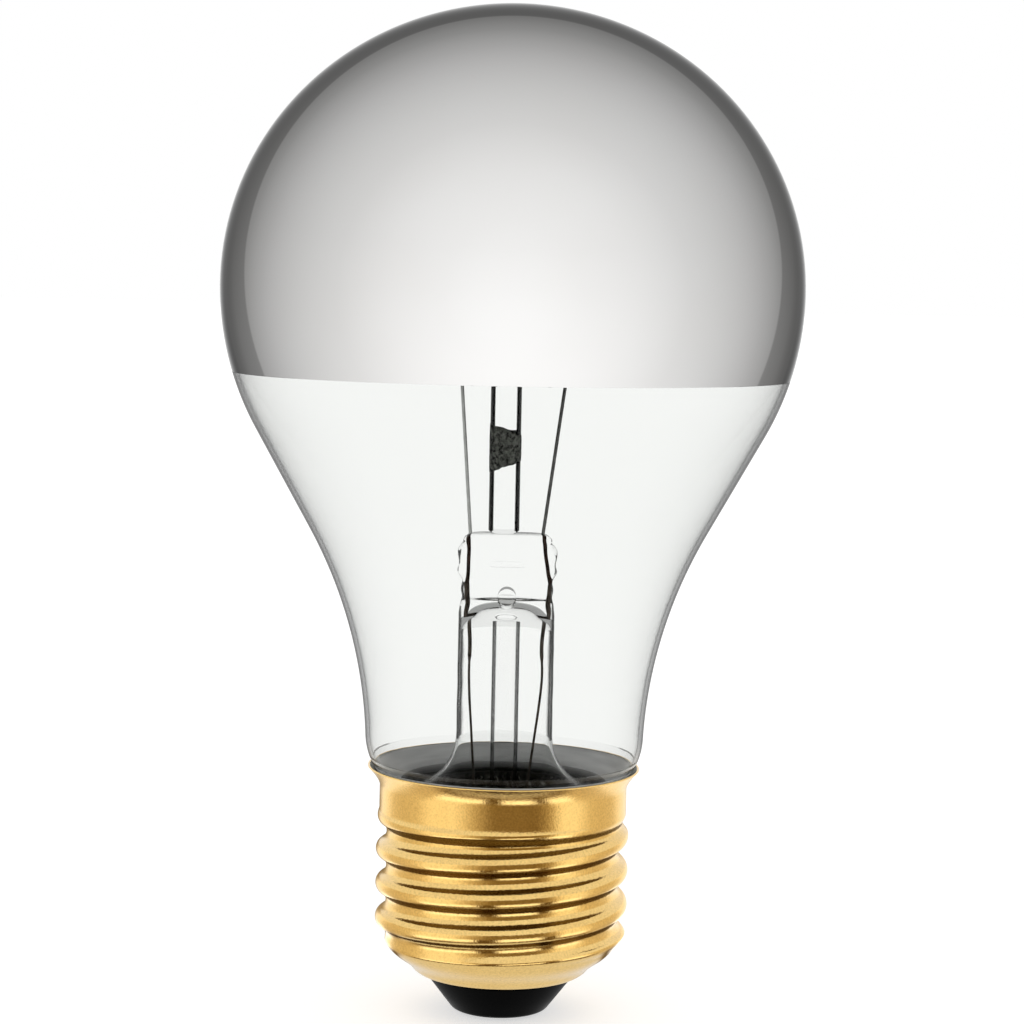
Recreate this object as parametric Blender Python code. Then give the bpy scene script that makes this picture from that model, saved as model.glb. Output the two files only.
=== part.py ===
# Silver crown bulb: a clear incandescent lamp with a mirrored upper half and an Edison screw base.
# Metres, +Z up. The origin is the centre of the base's end contact, where the lamp seats in its holder.

import math

import bmesh
import bpy
from mathutils import Vector

MM = 0.001
CLEARANCE = 0.3 * MM        # between pieces that are fused, soldered or cemented on the real lamp

# End contact and insulator, from the bottom up
SOLDER_R = 1.15 * MM
SOLDER_HEIGHT = 2.2 * MM
CONTACT_RISE = 0.12 * MM    # the eyelet's disc lies this far above the solder's flat end
CONTACT_R = 3.4 * MM
CONTACT_THICKNESS = 0.6 * MM
EYELET_WALL = 0.5 * MM
EYELET_HEIGHT = 2.6 * MM
INSULATOR_RISE = 0.3 * MM
INSULATOR_TIP_R = 4.9 * MM
INSULATOR_CONE_R = 7.9 * MM
INSULATOR_CONE_HEIGHT = 3.9 * MM
INSULATOR_FOOT_HEIGHT = 1.4 * MM

# Screw shell
SHELL_WALL = 0.3 * MM
SHELL_CRIMP_HEIGHT = 0.25 * MM
SHELL_SHOULDER_R = 9.0 * MM
SHELL_TAPER_HEIGHT = 2.95 * MM
THREAD_MAJOR_R = 13.2 * MM
THREAD_DEPTH = 1.1 * MM
THREAD_PITCH = 3.63 * MM
THREAD_LENGTH = 14.0 * MM
THREAD_CREST_RISE = 0.7 * MM  # of the lowest crest at +X above the thread's start
THREAD_RUN_IN = 1.2 * MM    # from the taper to the thread's full depth
THREAD_RUN_OUT = 2.0 * MM   # from the full depth to the collar
COLLAR_R = 12.9 * MM
COLLAR_HEIGHT = 2.6 * MM
LIP_HEIGHT = 2.1 * MM
LIP_CURVE = 0.35            # share of the lip's flare that is reached at half its height
CEMENT_THICKNESS = 0.8 * MM

# Glass envelope, from the neck up
GLASS_WALL = 0.7 * MM
NECK_END_RISE = 0.5 * MM    # of the neck's turn above the collar
NECK_TURN_HEIGHT = 5.1 * MM
NECK_R = 14.5 * MM
NECK_SLOPE = math.radians(3)
NECK_ARC_R = 49.1 * MM
SHOULDER_ANGLE = math.radians(29)
BULB_R = 30.0 * MM
DOME_HEIGHT = 29.0 * MM
CROWN_DROP = 8.8 * MM       # from the bulb's widest ring down to the crown's edge
CROWN_THICKNESS = 0.2 * MM

# Stem
STEM_WALL = 0.6 * MM
STEM_TUBE_R = 5.0 * MM
STEM_TUBE_LENGTH = 12.85 * MM
FLARE_HEIGHT = 5.5 * MM
PRESS_HEIGHT = 8.2 * MM
PRESS_HALF_WIDTH = 5.2 * MM
PRESS_HALF_DEPTH = 2.5 * MM
PRESS_CORNER = 1.0 * MM
BORE_DOME_HEIGHT = 3.0 * MM
EXHAUST_HOLE_R = 0.9 * MM
EXHAUST_HOLE_RISE = 1.2 * MM  # above the foot of the press
EXHAUST_TUBE_R = 1.45 * MM
EXHAUST_TUBE_WALL = 0.5 * MM
EXHAUST_TUBE_LENGTH = 26.0 * MM
EXHAUST_TIP_HEIGHT = 3.0 * MM

# Rod and getter
ROD_X = -0.45 * MM          # the rod stands a little left of the axis
ROD_R = 1.6 * MM
ROD_LENGTH = 18.0 * MM
BUTTON_R = 2.6 * MM
BUTTON_HEIGHT = 2.6 * MM
GETTER_GAP = 0.1 * MM
GETTER_WALL = 0.15 * MM
GETTER_RISE = 7.0 * MM      # above the press
GETTER_LENGTH = 3.8 * MM
GETTER_SLANT = 0.6 * MM

# Lead wires
LEAD_R = 0.2 * MM
SEAL_R = 0.25 * MM
SEAL_LENGTH = 5.0 * MM
SEAL_DROP = 0.2 * MM        # of the seal's top below the top of the press
SEAL_LEFT_FOOT_X = 4.0 * MM  # the seals slant out to here
SEAL_RIGHT_FOOT_X = 4.3 * MM
LEAD_LEFT_X = 3.9 * MM      # at the top of the press
LEAD_RIGHT_X = 3.6 * MM
LEAD_LEFT_SPREAD = 1.25 * MM  # how far each upper lead leans outwards over its straight stretch
LEAD_RIGHT_SPREAD = 2.2 * MM
LEAD_STRAIGHT = 17.0 * MM
LOWER_LEAD_X = 3.75 * MM     # of both lower leads in the upper half of the stem's bore
LOWER_LEAD_LEFT_X = 3.1 * MM  # where they pass the foot of the flare
LOWER_LEAD_RIGHT_X = 2.5 * MM

# Filament and its supports
FILAMENT_RISE = 25.0 * MM   # above the press
FILAMENT_ARC_R = 9.0 * MM
FILAMENT_COIL_R = 0.45 * MM
FILAMENT_WIRE_R = 0.12 * MM
FILAMENT_TURNS = 24
SUPPORT_R = 0.15 * MM
SUPPORT_HOOK = 0.5 * MM
SUPPORT_ANGLES = {"left": 225, "front": 270, "right": 315}

# Joint between the second lead and the shell, at the back
SIDE_HOLE_R = 0.5 * MM
SIDE_SOLDER_R = 1.0 * MM
SIDE_SOLDER_HEIGHT = 0.7 * MM

# Fineness
ROUND_STEPS = 32
SHELL_STEPS = 28
STEM_STEPS = 24
SMALL_STEPS = 16
COIL_STEPS = 6
THREAD_ROWS_PER_TURN = 8

# Sizes that follow from the ones above
EYELET_BORE_R = SOLDER_R + CLEARANCE
EYELET_R = EYELET_BORE_R + EYELET_WALL
SHELL_BOTTOM = INSULATOR_RISE + INSULATOR_CONE_HEIGHT
THREAD_BOTTOM = SHELL_BOTTOM + SHELL_CRIMP_HEIGHT + SHELL_TAPER_HEIGHT
THREAD_ROOT_R = THREAD_MAJOR_R - THREAD_DEPTH
COLLAR_BOTTOM = THREAD_BOTTOM + THREAD_LENGTH
COLLAR_TOP = COLLAR_BOTTOM + COLLAR_HEIGHT
LIP_TOP = COLLAR_TOP + LIP_HEIGHT
CEMENT_R = COLLAR_R - SHELL_WALL - CLEARANCE
CEMENT_BORE_R = CEMENT_R - CEMENT_THICKNESS
NECK_END_R = CEMENT_BORE_R - CLEARANCE
NECK_TURN_BOTTOM = COLLAR_TOP + NECK_END_RISE
NECK_Z = NECK_TURN_BOTTOM + NECK_TURN_HEIGHT
SIDE_HOLE_Z = COLLAR_BOTTOM + CLEARANCE + SIDE_SOLDER_R
NECK_END_Z = SIDE_HOLE_Z + LEAD_R + CLEARANCE  # the second lead passes under the neck

FLARE_RIM_R = NECK_END_R - GLASS_WALL - CLEARANCE
FLARE_RIM_Z = (NECK_END_Z + NECK_TURN_BOTTOM) / 2
STEM_BORE_R = STEM_TUBE_R - STEM_WALL
STEM_TUBE_Z = FLARE_RIM_Z + FLARE_HEIGHT
PRESS_BOTTOM = STEM_TUBE_Z + STEM_TUBE_LENGTH
PRESS_TOP = PRESS_BOTTOM + PRESS_HEIGHT
BORE_DOME_Z = PRESS_BOTTOM - BORE_DOME_HEIGHT
BORE_DOME_END = math.radians(65)  # where the dome is cut flat for the exhaust passage
BORE_TOP = BORE_DOME_Z + BORE_DOME_HEIGHT * math.sin(BORE_DOME_END)
EXHAUST_HOLE_Z = PRESS_BOTTOM + EXHAUST_HOLE_RISE
SEAL_TOP = PRESS_TOP - SEAL_DROP
SEAL_BOTTOM = SEAL_TOP - SEAL_LENGTH
SEALS = {
    "left": ((-LEAD_LEFT_X, 0, SEAL_TOP), (-SEAL_LEFT_FOOT_X, 0, SEAL_BOTTOM)),
    "right": ((LEAD_RIGHT_X, 0, SEAL_TOP), (SEAL_RIGHT_FOOT_X, 0, SEAL_BOTTOM)),
}
FILAMENT_Z = PRESS_TOP + FILAMENT_RISE

CONE_LENGTH = (
    BULB_R * math.cos(SHOULDER_ANGLE)
    - NECK_ARC_R * (math.cos(NECK_SLOPE) - math.cos(SHOULDER_ANGLE))
    - NECK_R
) / math.sin(SHOULDER_ANGLE)
CONE_BOTTOM = NECK_Z + NECK_ARC_R * (math.sin(SHOULDER_ANGLE) - math.sin(NECK_SLOPE))
SHOULDER_Z = CONE_BOTTOM + CONE_LENGTH * math.cos(SHOULDER_ANGLE)
EQUATOR_Z = SHOULDER_Z + BULB_R * math.sin(SHOULDER_ANGLE)
CROWN_EDGE_ANGLE = math.asin(CROWN_DROP / BULB_R)


def make_material(name, colour, roughness, metallic=0.0, transmission=0.0):
    material = bpy.data.materials.new(name)
    material.use_nodes = True
    shader = material.node_tree.nodes["Principled BSDF"]
    shader.inputs["Base Color"].default_value = (*colour, 1.0)
    shader.inputs["Roughness"].default_value = roughness
    shader.inputs["Metallic"].default_value = metallic
    shader.inputs["Transmission Weight"].default_value = transmission
    return material


def link_object(name, data, material):
    data.materials.append(material)
    obj = bpy.data.objects.new(name, data)
    bpy.context.scene.collection.objects.link(obj)
    return obj


def mesh_object(name, bm, material):
    """Closes, orients and smooths the mesh and links it as one object."""
    bmesh.ops.remove_doubles(bm, verts=bm.verts, dist=0.001 * MM)
    bmesh.ops.recalc_face_normals(bm, faces=bm.faces)
    mesh = bpy.data.meshes.new(name)
    bm.to_mesh(mesh)
    bm.free()
    mesh.shade_smooth()
    mesh.set_sharp_from_angle(angle=math.radians(40))
    return link_object(name, mesh, material)


def turned(name, outline, material, steps=ROUND_STEPS):
    """Turns an outline of (radius, height) points about Z: from axis to axis, or a loop that stays off it."""
    bm = bmesh.new()
    points = [bm.verts.new((radius, 0, height)) for radius, height in outline]
    edges = [bm.edges.new(pair) for pair in zip(points, points[1:])]
    if outline[0][0] > 0.001 * MM:
        edges.append(bm.edges.new((points[-1], points[0])))
    bmesh.ops.spin(
        bm, geom=points + edges, axis=(0, 0, 1), cent=(0, 0, 0), angle=math.tau, steps=steps, use_merge=True
    )
    return mesh_object(name, bm, material)


def lofted(name, rings, material, closed_loop=False):
    """Joins rings of equally many points. The end rings are capped, or joined to each other in a loop."""
    bm = bmesh.new()
    rows = [[bm.verts.new(point) for point in ring] for ring in rings]
    pairs = list(zip(rows, rows[1:]))
    if closed_loop:
        pairs.append((rows[-1], rows[0]))
    else:
        bm.faces.new(rows[0])
        bm.faces.new(rows[-1])
    for first, second in pairs:
        for i in range(len(first)):
            j = (i + 1) % len(first)
            bm.faces.new((first[i], first[j], second[j], second[i]))
    return mesh_object(name, bm, material)


def wire(name, points, radius, material):
    """A round wire with flat ends along a smooth curve through the points."""
    curve = bpy.data.curves.new(name, "CURVE")
    curve.dimensions = "3D"
    curve.bevel_depth = radius
    curve.bevel_resolution = 2
    curve.resolution_u = 4
    curve.use_fill_caps = True
    spline = curve.splines.new("BEZIER")
    spline.bezier_points.add(len(points) - 1)
    for knot, point in zip(spline.bezier_points, points):
        knot.co = point
        knot.handle_left_type = knot.handle_right_type = "AUTO"
    return link_object(name, curve, material)


def drill(obj, start, end, radius, overrun=0):
    """Cuts a straight round hole from start to end, or past the end by the overrun."""
    start, end = Vector(start), Vector(end)
    end += (end - start).normalized() * overrun
    bm = bmesh.new()
    bmesh.ops.create_cone(
        bm, cap_ends=True, segments=16, radius1=radius, radius2=radius, depth=(end - start).length
    )
    mesh = bpy.data.meshes.new(obj.name + "_drill")
    bm.to_mesh(mesh)
    bm.free()
    cutter = bpy.data.objects.new(obj.name + "_drill", mesh)
    bpy.context.scene.collection.objects.link(cutter)
    cutter.location = (start + end) / 2
    cutter.rotation_euler = (end - start).to_track_quat("Z", "Y").to_euler()
    cutter.hide_render = True
    cutter.display_type = "WIRE"
    cut = obj.modifiers.new("hole", "BOOLEAN")
    cut.operation = "DIFFERENCE"
    cut.object = cutter


def arc(centre, radii, start, end, steps):
    """Points on an ellipse's arc, with angles from the radius axis towards the height axis."""
    angles = [start + (end - start) * i / steps for i in range(steps + 1)]
    return [(centre[0] + radii[0] * math.cos(a), centre[1] + radii[1] * math.sin(a)) for a in angles]


def crown_side(inset):
    """From the top of the dome, round the widest ring and down to the crown's edge."""
    dome = arc((0, EQUATOR_Z), (BULB_R - inset, DOME_HEIGHT - inset), math.pi / 2, 0, 9)
    band = arc((0, EQUATOR_Z), (BULB_R - inset, BULB_R - inset), 0, -CROWN_EDGE_ANGLE, 2)
    return [(0, EQUATOR_Z + DOME_HEIGHT - inset)] + dome[1:] + band[1:]


def clear_side(inset, seat):
    """From the crown's edge down to the neck's end. The inset grows by the coat's seat towards the crown."""
    start = math.asin((CROWN_DROP + CLEARANCE) / BULB_R)
    steps = 2
    ball = []
    for i in range(steps):
        angle = start + (SHOULDER_ANGLE - start) * i / steps
        radius = BULB_R - inset - seat * (1 - i / steps)
        ball.append((radius * math.cos(angle), EQUATOR_Z - radius * math.sin(angle)))
    shoulder_r = BULB_R - inset
    ball.append((shoulder_r * math.cos(SHOULDER_ANGLE), EQUATOR_Z - shoulder_r * math.sin(SHOULDER_ANGLE)))
    arc_centre = (NECK_R + NECK_ARC_R * math.cos(NECK_SLOPE), NECK_Z - NECK_ARC_R * math.sin(NECK_SLOPE))
    arc_r = NECK_ARC_R + inset
    neck = arc(arc_centre, (-arc_r, arc_r), SHOULDER_ANGLE, NECK_SLOPE, 5)
    turn_radii = (NECK_R - NECK_END_R, NECK_TURN_HEIGHT)
    turn = arc((NECK_END_R - inset, NECK_Z), turn_radii, math.radians(-18), -math.pi / 2, 4)
    return ball + neck + turn + [(NECK_END_R - inset, NECK_END_Z)]


def neck_turn_radius(height):
    """Outer radius of the glass where the neck turns in towards the base."""
    share = (NECK_Z - height) / NECK_TURN_HEIGHT
    return NECK_END_R + (NECK_R - NECK_END_R) * math.sqrt(1 - share * share)


def build_glass(glass, silver):
    """The blown bulb is stepped in under the mirror coat, so the coat lies flush with the clear glass."""
    seat = CROWN_THICKNESS + CLEARANCE
    seated = crown_side(seat)
    clear = clear_side(0, 0)
    outer = seated + [(seated[-1][0], clear[0][1])] + clear
    inner = crown_side(GLASS_WALL + seat) + clear_side(GLASS_WALL, seat)
    turned("glass_envelope", outer + inner[::-1], glass)
    turned("silver_crown", crown_side(0) + crown_side(CROWN_THICKNESS)[::-1], silver)


def thread_radius(height, angle):
    """Outer radius of a right-handed thread whose crests and roots are equal arcs."""
    turns = (height - THREAD_BOTTOM - THREAD_CREST_RISE) / THREAD_PITCH - angle / math.tau
    from_crest = abs((turns + 0.5) % 1.0 - 0.5) * THREAD_PITCH
    arc_r = THREAD_PITCH**2 / (16 * THREAD_DEPTH) + THREAD_DEPTH / 4
    if from_crest <= THREAD_PITCH / 4:
        return THREAD_MAJOR_R - arc_r + math.sqrt(arc_r**2 - from_crest**2)
    from_root = THREAD_PITCH / 2 - from_crest
    return THREAD_ROOT_R + arc_r - math.sqrt(arc_r**2 - from_root**2)


def shell_radius(height, angle):
    """Outer radius of the threaded stretch, eased into the taper below it and the collar above it."""
    from_taper = min((height - THREAD_BOTTOM) / THREAD_RUN_IN, 1.0)
    from_collar = min((COLLAR_BOTTOM - height) / THREAD_RUN_OUT, 1.0)
    radius = THREAD_ROOT_R + (thread_radius(height, angle) - THREAD_ROOT_R) * from_taper
    return COLLAR_R + (radius - COLLAR_R) * from_collar


def build_shell(brass):
    angles = [math.tau * i / SHELL_STEPS for i in range(SHELL_STEPS)]
    taper_bottom = SHELL_BOTTOM + SHELL_CRIMP_HEIGHT
    taper_middle_r = (SHELL_SHOULDER_R + THREAD_ROOT_R) / 2
    lip_r = neck_turn_radius(LIP_TOP) + CLEARANCE + SHELL_WALL
    lip_middle_r = COLLAR_R + (lip_r - COLLAR_R) * LIP_CURVE
    crimp = [(INSULATOR_CONE_R, SHELL_BOTTOM), (SHELL_SHOULDER_R, taper_bottom)]
    taper = [(taper_middle_r, taper_bottom + SHELL_TAPER_HEIGHT / 2)]
    lip = [(COLLAR_R, COLLAR_TOP), (lip_middle_r, COLLAR_TOP + LIP_HEIGHT / 2), (lip_r, LIP_TOP)]
    rows = math.ceil(THREAD_LENGTH / THREAD_PITCH * THREAD_ROWS_PER_TURN)
    thread = []
    for row in range(rows + 1):
        height = THREAD_BOTTOM + THREAD_LENGTH * row / rows
        thread.append([(shell_radius(height, angle), height) for angle in angles])
    outer = [[point] * SHELL_STEPS for point in crimp + taper] + thread
    outer += [[point] * SHELL_STEPS for point in lip]
    inner = [[(radius - SHELL_WALL, height) for radius, height in ring] for ring in outer]
    for row in range(len(crimp)):
        inner[row] = [(radius, height + SHELL_WALL) for radius, height in inner[row]]
    rings = []
    for ring in outer + inner[::-1]:
        points = zip(ring, angles)
        rings.append([(radius * math.cos(a), radius * math.sin(a), height) for (radius, height), a in points])
    shell = lofted("screw_shell", rings, brass, closed_loop=True)
    drill(shell, (0, CEMENT_R, SIDE_HOLE_Z), (0, COLLAR_R + SHELL_WALL, SIDE_HOLE_Z), SIDE_HOLE_R)


def build_cement(cement):
    """The ring between the neck and the collar, with a slot at the back for the second lead."""
    bottom, top = COLLAR_BOTTOM + CLEARANCE, COLLAR_TOP + CLEARANCE
    outline = [(CEMENT_BORE_R, bottom), (CEMENT_R, bottom), (CEMENT_R, top), (CEMENT_BORE_R, top)]
    ring = turned("basing_cement", outline, cement)
    drill(ring, (0, 0, SIDE_HOLE_Z), (0, COLLAR_R, SIDE_HOLE_Z), LEAD_R + CLEARANCE)


def build_insulator(vitrite):
    """The black glass cone, with the eyelet's seat in its end and a foot that the shell is crimped under."""
    seat_top = CONTACT_RISE + CONTACT_THICKNESS + CLEARANCE
    hole_r = EYELET_R + CLEARANCE
    waist_r = INSULATOR_CONE_R - SHELL_WALL - CLEARANCE
    waist_top = SHELL_BOTTOM + SHELL_WALL + CLEARANCE
    foot_r = SHELL_SHOULDER_R - SHELL_WALL - CLEARANCE
    foot_bottom = waist_top + SHELL_CRIMP_HEIGHT
    outline = [
        (hole_r, seat_top),
        (CONTACT_R + CLEARANCE, seat_top),
        (CONTACT_R + CLEARANCE, INSULATOR_RISE),
        (INSULATOR_TIP_R, INSULATOR_RISE),
        (INSULATOR_CONE_R, SHELL_BOTTOM - CLEARANCE),
        (waist_r, SHELL_BOTTOM - CLEARANCE),
        (waist_r, waist_top),
        (foot_r, foot_bottom),
        (foot_r, foot_bottom + INSULATOR_FOOT_HEIGHT),
        (hole_r, foot_bottom + INSULATOR_FOOT_HEIGHT),
    ]
    turned("insulator", outline, vitrite)


def build_contacts(contact_metal, solder):
    disc_top = CONTACT_RISE + CONTACT_THICKNESS
    outline = [
        (EYELET_BORE_R, CONTACT_RISE),
        (CONTACT_R, CONTACT_RISE),
        (CONTACT_R, disc_top),
        (EYELET_R, disc_top),
        (EYELET_R, CONTACT_RISE + EYELET_HEIGHT),
        (EYELET_BORE_R, CONTACT_RISE + EYELET_HEIGHT),
    ]
    turned("centre_contact", outline, contact_metal, SMALL_STEPS)
    plug = [(0, 0), (SOLDER_R, 0), (SOLDER_R, SOLDER_HEIGHT), (0, SOLDER_HEIGHT)]
    turned("contact_solder", plug, solder, SMALL_STEPS)
    dome = arc((0, 0), (SIDE_SOLDER_R, SIDE_SOLDER_HEIGHT), 0, math.pi / 2, 4)
    drop = turned("side_solder", [(0, 0)] + dome, solder, SMALL_STEPS)
    drop.location = (0, COLLAR_R + CLEARANCE, SIDE_HOLE_Z)
    drop.rotation_euler = (-math.pi / 2, 0, 0)


def section(half_width, half_depth, height, squareness=2):
    """A level ring: an ellipse at squareness 2, and closer to a box as it rises."""
    ring = []
    for i in range(STEM_STEPS):
        angle = math.tau * i / STEM_STEPS
        c, s = math.cos(angle), math.sin(angle)
        x = math.copysign(abs(c) ** (2 / squareness), c) * half_width
        y = math.copysign(abs(s) ** (2 / squareness), s) * half_depth
        ring.append((x, y, height))
    return ring


def build_stem(glass):
    """Flare, tube and press are one piece of glass, pinched flat at the top round the seals and leads."""
    wide, deep, corner = PRESS_HALF_WIDTH, PRESS_HALF_DEPTH, PRESS_CORNER
    rings = []
    for angle in (math.radians(90), math.radians(60), math.radians(30), 0):
        inset = corner * (1 - math.cos(angle))
        height = PRESS_TOP - corner + corner * math.sin(angle)
        rings.append(section(wide - inset, deep - inset, height, 3))
    rings.append(section(wide, deep, PRESS_BOTTOM + 2 * corner, 3))
    rings.append(section((STEM_TUBE_R + wide) / 2, (STEM_TUBE_R + deep) / 2, PRESS_BOTTOM + corner, 2.4))
    rings.append(section(STEM_TUBE_R, STEM_TUBE_R, PRESS_BOTTOM))
    flare_centre = (FLARE_RIM_R, STEM_TUBE_Z)
    flare_width = FLARE_RIM_R - STEM_TUBE_R
    outside = arc(flare_centre, (-flare_width, -FLARE_HEIGHT), 0, math.pi / 2, 7)
    inner_radii = (-flare_width - STEM_WALL, -FLARE_HEIGHT - STEM_WALL)
    inside = arc(flare_centre, inner_radii, math.pi / 2, 0, 7)
    bore = arc((0, BORE_DOME_Z), (STEM_BORE_R, BORE_DOME_HEIGHT), 0, BORE_DOME_END, 4)
    rings += [section(radius, radius, height) for radius, height in outside + inside + bore]
    stem = lofted("stem_flare", rings, glass)
    for top, foot in SEALS.values():
        in_bore = (math.copysign(LOWER_LEAD_X, foot[0]), 0, BORE_DOME_Z)
        drill(stem, foot, top, SEAL_R + CLEARANCE, corner)
        drill(stem, in_bore, foot, SEAL_R + CLEARANCE, CLEARANCE)
    drill(stem, (0, 0, BORE_TOP - corner), (0, 0, EXHAUST_HOLE_Z), EXHAUST_HOLE_R)
    drill(stem, (0, -STEM_TUBE_R, EXHAUST_HOLE_Z), (0, EXHAUST_HOLE_R / 2, EXHAUST_HOLE_Z), EXHAUST_HOLE_R)


def build_exhaust_tube(glass):
    """Open at the top, under the passage in the press, and drawn to a closed tip inside the base."""
    top = BORE_TOP - CLEARANCE
    bottom = top - EXHAUST_TUBE_LENGTH
    bore_r = EXHAUST_TUBE_R - EXHAUST_TUBE_WALL
    outline = [
        (0, bottom),
        (EXHAUST_TUBE_R, bottom + EXHAUST_TIP_HEIGHT),
        (EXHAUST_TUBE_R, top),
        (bore_r, top),
        (bore_r, bottom + EXHAUST_TIP_HEIGHT),
        (0, bottom + EXHAUST_TIP_HEIGHT / 2),
    ]
    turned("exhaust_tube", outline, glass, SMALL_STEPS)


def build_rod(glass, getter):
    """The rod ends in a melted button. The getter is a thin snug band round it with slanting edges."""
    bottom = PRESS_TOP + CLEARANCE
    button_z = bottom + ROD_LENGTH
    half = BUTTON_HEIGHT / 2
    neck_angle = -math.acos(ROD_R / BUTTON_R)
    button = arc((0, button_z), (BUTTON_R, half), neck_angle, math.pi / 2, 8)
    outline = [(0, bottom), (ROD_R, bottom)] + button[:-1] + [(0, button_z + half)]
    rod = turned("arbor_rod", outline, glass, SMALL_STEPS)
    bore_r = ROD_R + GETTER_GAP
    low, high = PRESS_TOP + GETTER_RISE, PRESS_TOP + GETTER_RISE + GETTER_LENGTH
    corners = [
        (bore_r + GETTER_WALL, low, GETTER_SLANT),
        (bore_r + GETTER_WALL, high, -GETTER_SLANT),
        (bore_r, high, -GETTER_SLANT),
        (bore_r, low, GETTER_SLANT),
    ]
    angles = [math.tau * i / SMALL_STEPS for i in range(SMALL_STEPS)]
    rings = []
    for radius, height, slant in corners:
        ring = [(radius * math.cos(a), radius * math.sin(a), height + slant * math.cos(a)) for a in angles]
        rings.append(ring)
    band = lofted("getter_band", rings, getter, closed_loop=True)
    for piece in (rod, band):
        piece.location.x = ROD_X


def build_upper_leads(nickel):
    """Each leans outwards in a straight line and then bends out to its end of the filament."""
    start = SEAL_TOP + CLEARANCE
    end = FILAMENT_Z - FILAMENT_COIL_R - CLEARANCE
    leads = {
        "upper_lead_left": (-1, LEAD_LEFT_X, LEAD_LEFT_SPREAD),
        "upper_lead_right": (1, LEAD_RIGHT_X, LEAD_RIGHT_SPREAD),
    }
    for name, (side, x, spread) in leads.items():
        straight = [(side * (x + spread * t), 0, start + LEAD_STRAIGHT * t) for t in (0, 0.3, 0.6, 0.9, 1)]
        bend_z = start + LEAD_STRAIGHT
        bend_x = x + spread
        elbow = (side * (bend_x + FILAMENT_ARC_R) / 2, 0, (bend_z + end) / 2)
        wire(name, straight + [elbow, (side * FILAMENT_ARC_R, 0, end)], LEAD_R, nickel)


def build_seals(dumet):
    for side, ends in SEALS.items():
        wire("dumet_seal_" + side, ends, SEAL_R, dumet)


def build_lower_leads(copper):
    """One runs down to the end contact. The other leaves under the neck and through the shell's back."""
    start = SEAL_BOTTOM - CLEARANCE
    bore_middle = (STEM_TUBE_Z + BORE_DOME_Z) / 2
    tip_z = BORE_TOP - CLEARANCE - EXHAUST_TUBE_LENGTH
    eyelet_top = CONTACT_RISE + EYELET_HEIGHT
    to_contact = [
        (-SEAL_LEFT_FOOT_X, 0, start),
        (-LOWER_LEAD_X, 0, BORE_DOME_Z),
        (-LOWER_LEAD_X, 0, bore_middle),
        (-LOWER_LEAD_LEFT_X, 0, FLARE_RIM_Z),
        (-LOWER_LEAD_LEFT_X, 0, tip_z),
        (-LOWER_LEAD_LEFT_X / 2, 0, (tip_z + eyelet_top) / 2),
        (0, 0, eyelet_top + EYELET_HEIGHT / 2),
        (0, 0, SOLDER_HEIGHT + CLEARANCE),
    ]
    wire("lower_lead_contact", to_contact, LEAD_R, copper)
    to_shell = [
        (SEAL_RIGHT_FOOT_X, 0, start),
        (LOWER_LEAD_X, 0, BORE_DOME_Z),
        (LOWER_LEAD_X, 0, bore_middle),
        (LOWER_LEAD_RIGHT_X, 0, FLARE_RIM_Z),
        (LOWER_LEAD_RIGHT_X, EXHAUST_TUBE_R, COLLAR_BOTTOM),
        (LOWER_LEAD_RIGHT_X / 2, CEMENT_BORE_R / 2, SIDE_HOLE_Z - LEAD_R),
        (0, FLARE_RIM_R, SIDE_HOLE_Z),
        (0, CEMENT_BORE_R, SIDE_HOLE_Z),
        (0, COLLAR_R, SIDE_HOLE_Z),
    ]
    wire("lower_lead_shell", to_shell, LEAD_R, copper)


def build_filament(tungsten):
    """A coiled wire in a level half circle round the front, from one lead's end to the other's."""
    count = FILAMENT_TURNS * COIL_STEPS
    curve = bpy.data.curves.new("filament", "CURVE")
    curve.dimensions = "3D"
    curve.bevel_depth = FILAMENT_WIRE_R
    curve.bevel_resolution = 0
    curve.use_fill_caps = True
    spline = curve.splines.new("POLY")
    spline.points.add(count)
    for i, knot in enumerate(spline.points):
        along = math.pi + math.pi * i / count
        around = math.tau * i / COIL_STEPS
        coil_r = FILAMENT_COIL_R - FILAMENT_WIRE_R
        radius = FILAMENT_ARC_R + coil_r * math.cos(around)
        height = FILAMENT_Z + coil_r * math.sin(around)
        knot.co = (radius * math.cos(along), radius * math.sin(along), height, 1.0)
    link_object("filament", curve, tungsten)


def build_supports(molybdenum):
    """Thin wires fan out from the button, pass under the filament and hook up behind it."""
    button_z = PRESS_TOP + CLEARANCE + ROD_LENGTH
    under = FILAMENT_Z - FILAMENT_COIL_R - CLEARANCE - SUPPORT_R
    behind = FILAMENT_ARC_R + FILAMENT_COIL_R + CLEARANCE + SUPPORT_R
    foot_r = BUTTON_R + CLEARANCE
    path = [
        (FILAMENT_ARC_R - SUPPORT_HOOK, under - SUPPORT_HOOK / 2),
        (FILAMENT_ARC_R, under),
        (behind, FILAMENT_Z - SUPPORT_R),
        (behind, FILAMENT_Z + SUPPORT_HOOK),
    ]
    for side, degrees in SUPPORT_ANGLES.items():
        c, s = math.cos(math.radians(degrees)), math.sin(math.radians(degrees))
        foot = (ROD_X + foot_r * c, foot_r * s, button_z)
        hook = [(radius * c, radius * s, height) for radius, height in path]
        wire("support_wire_" + side, [foot] + hook, SUPPORT_R, molybdenum)


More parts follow.
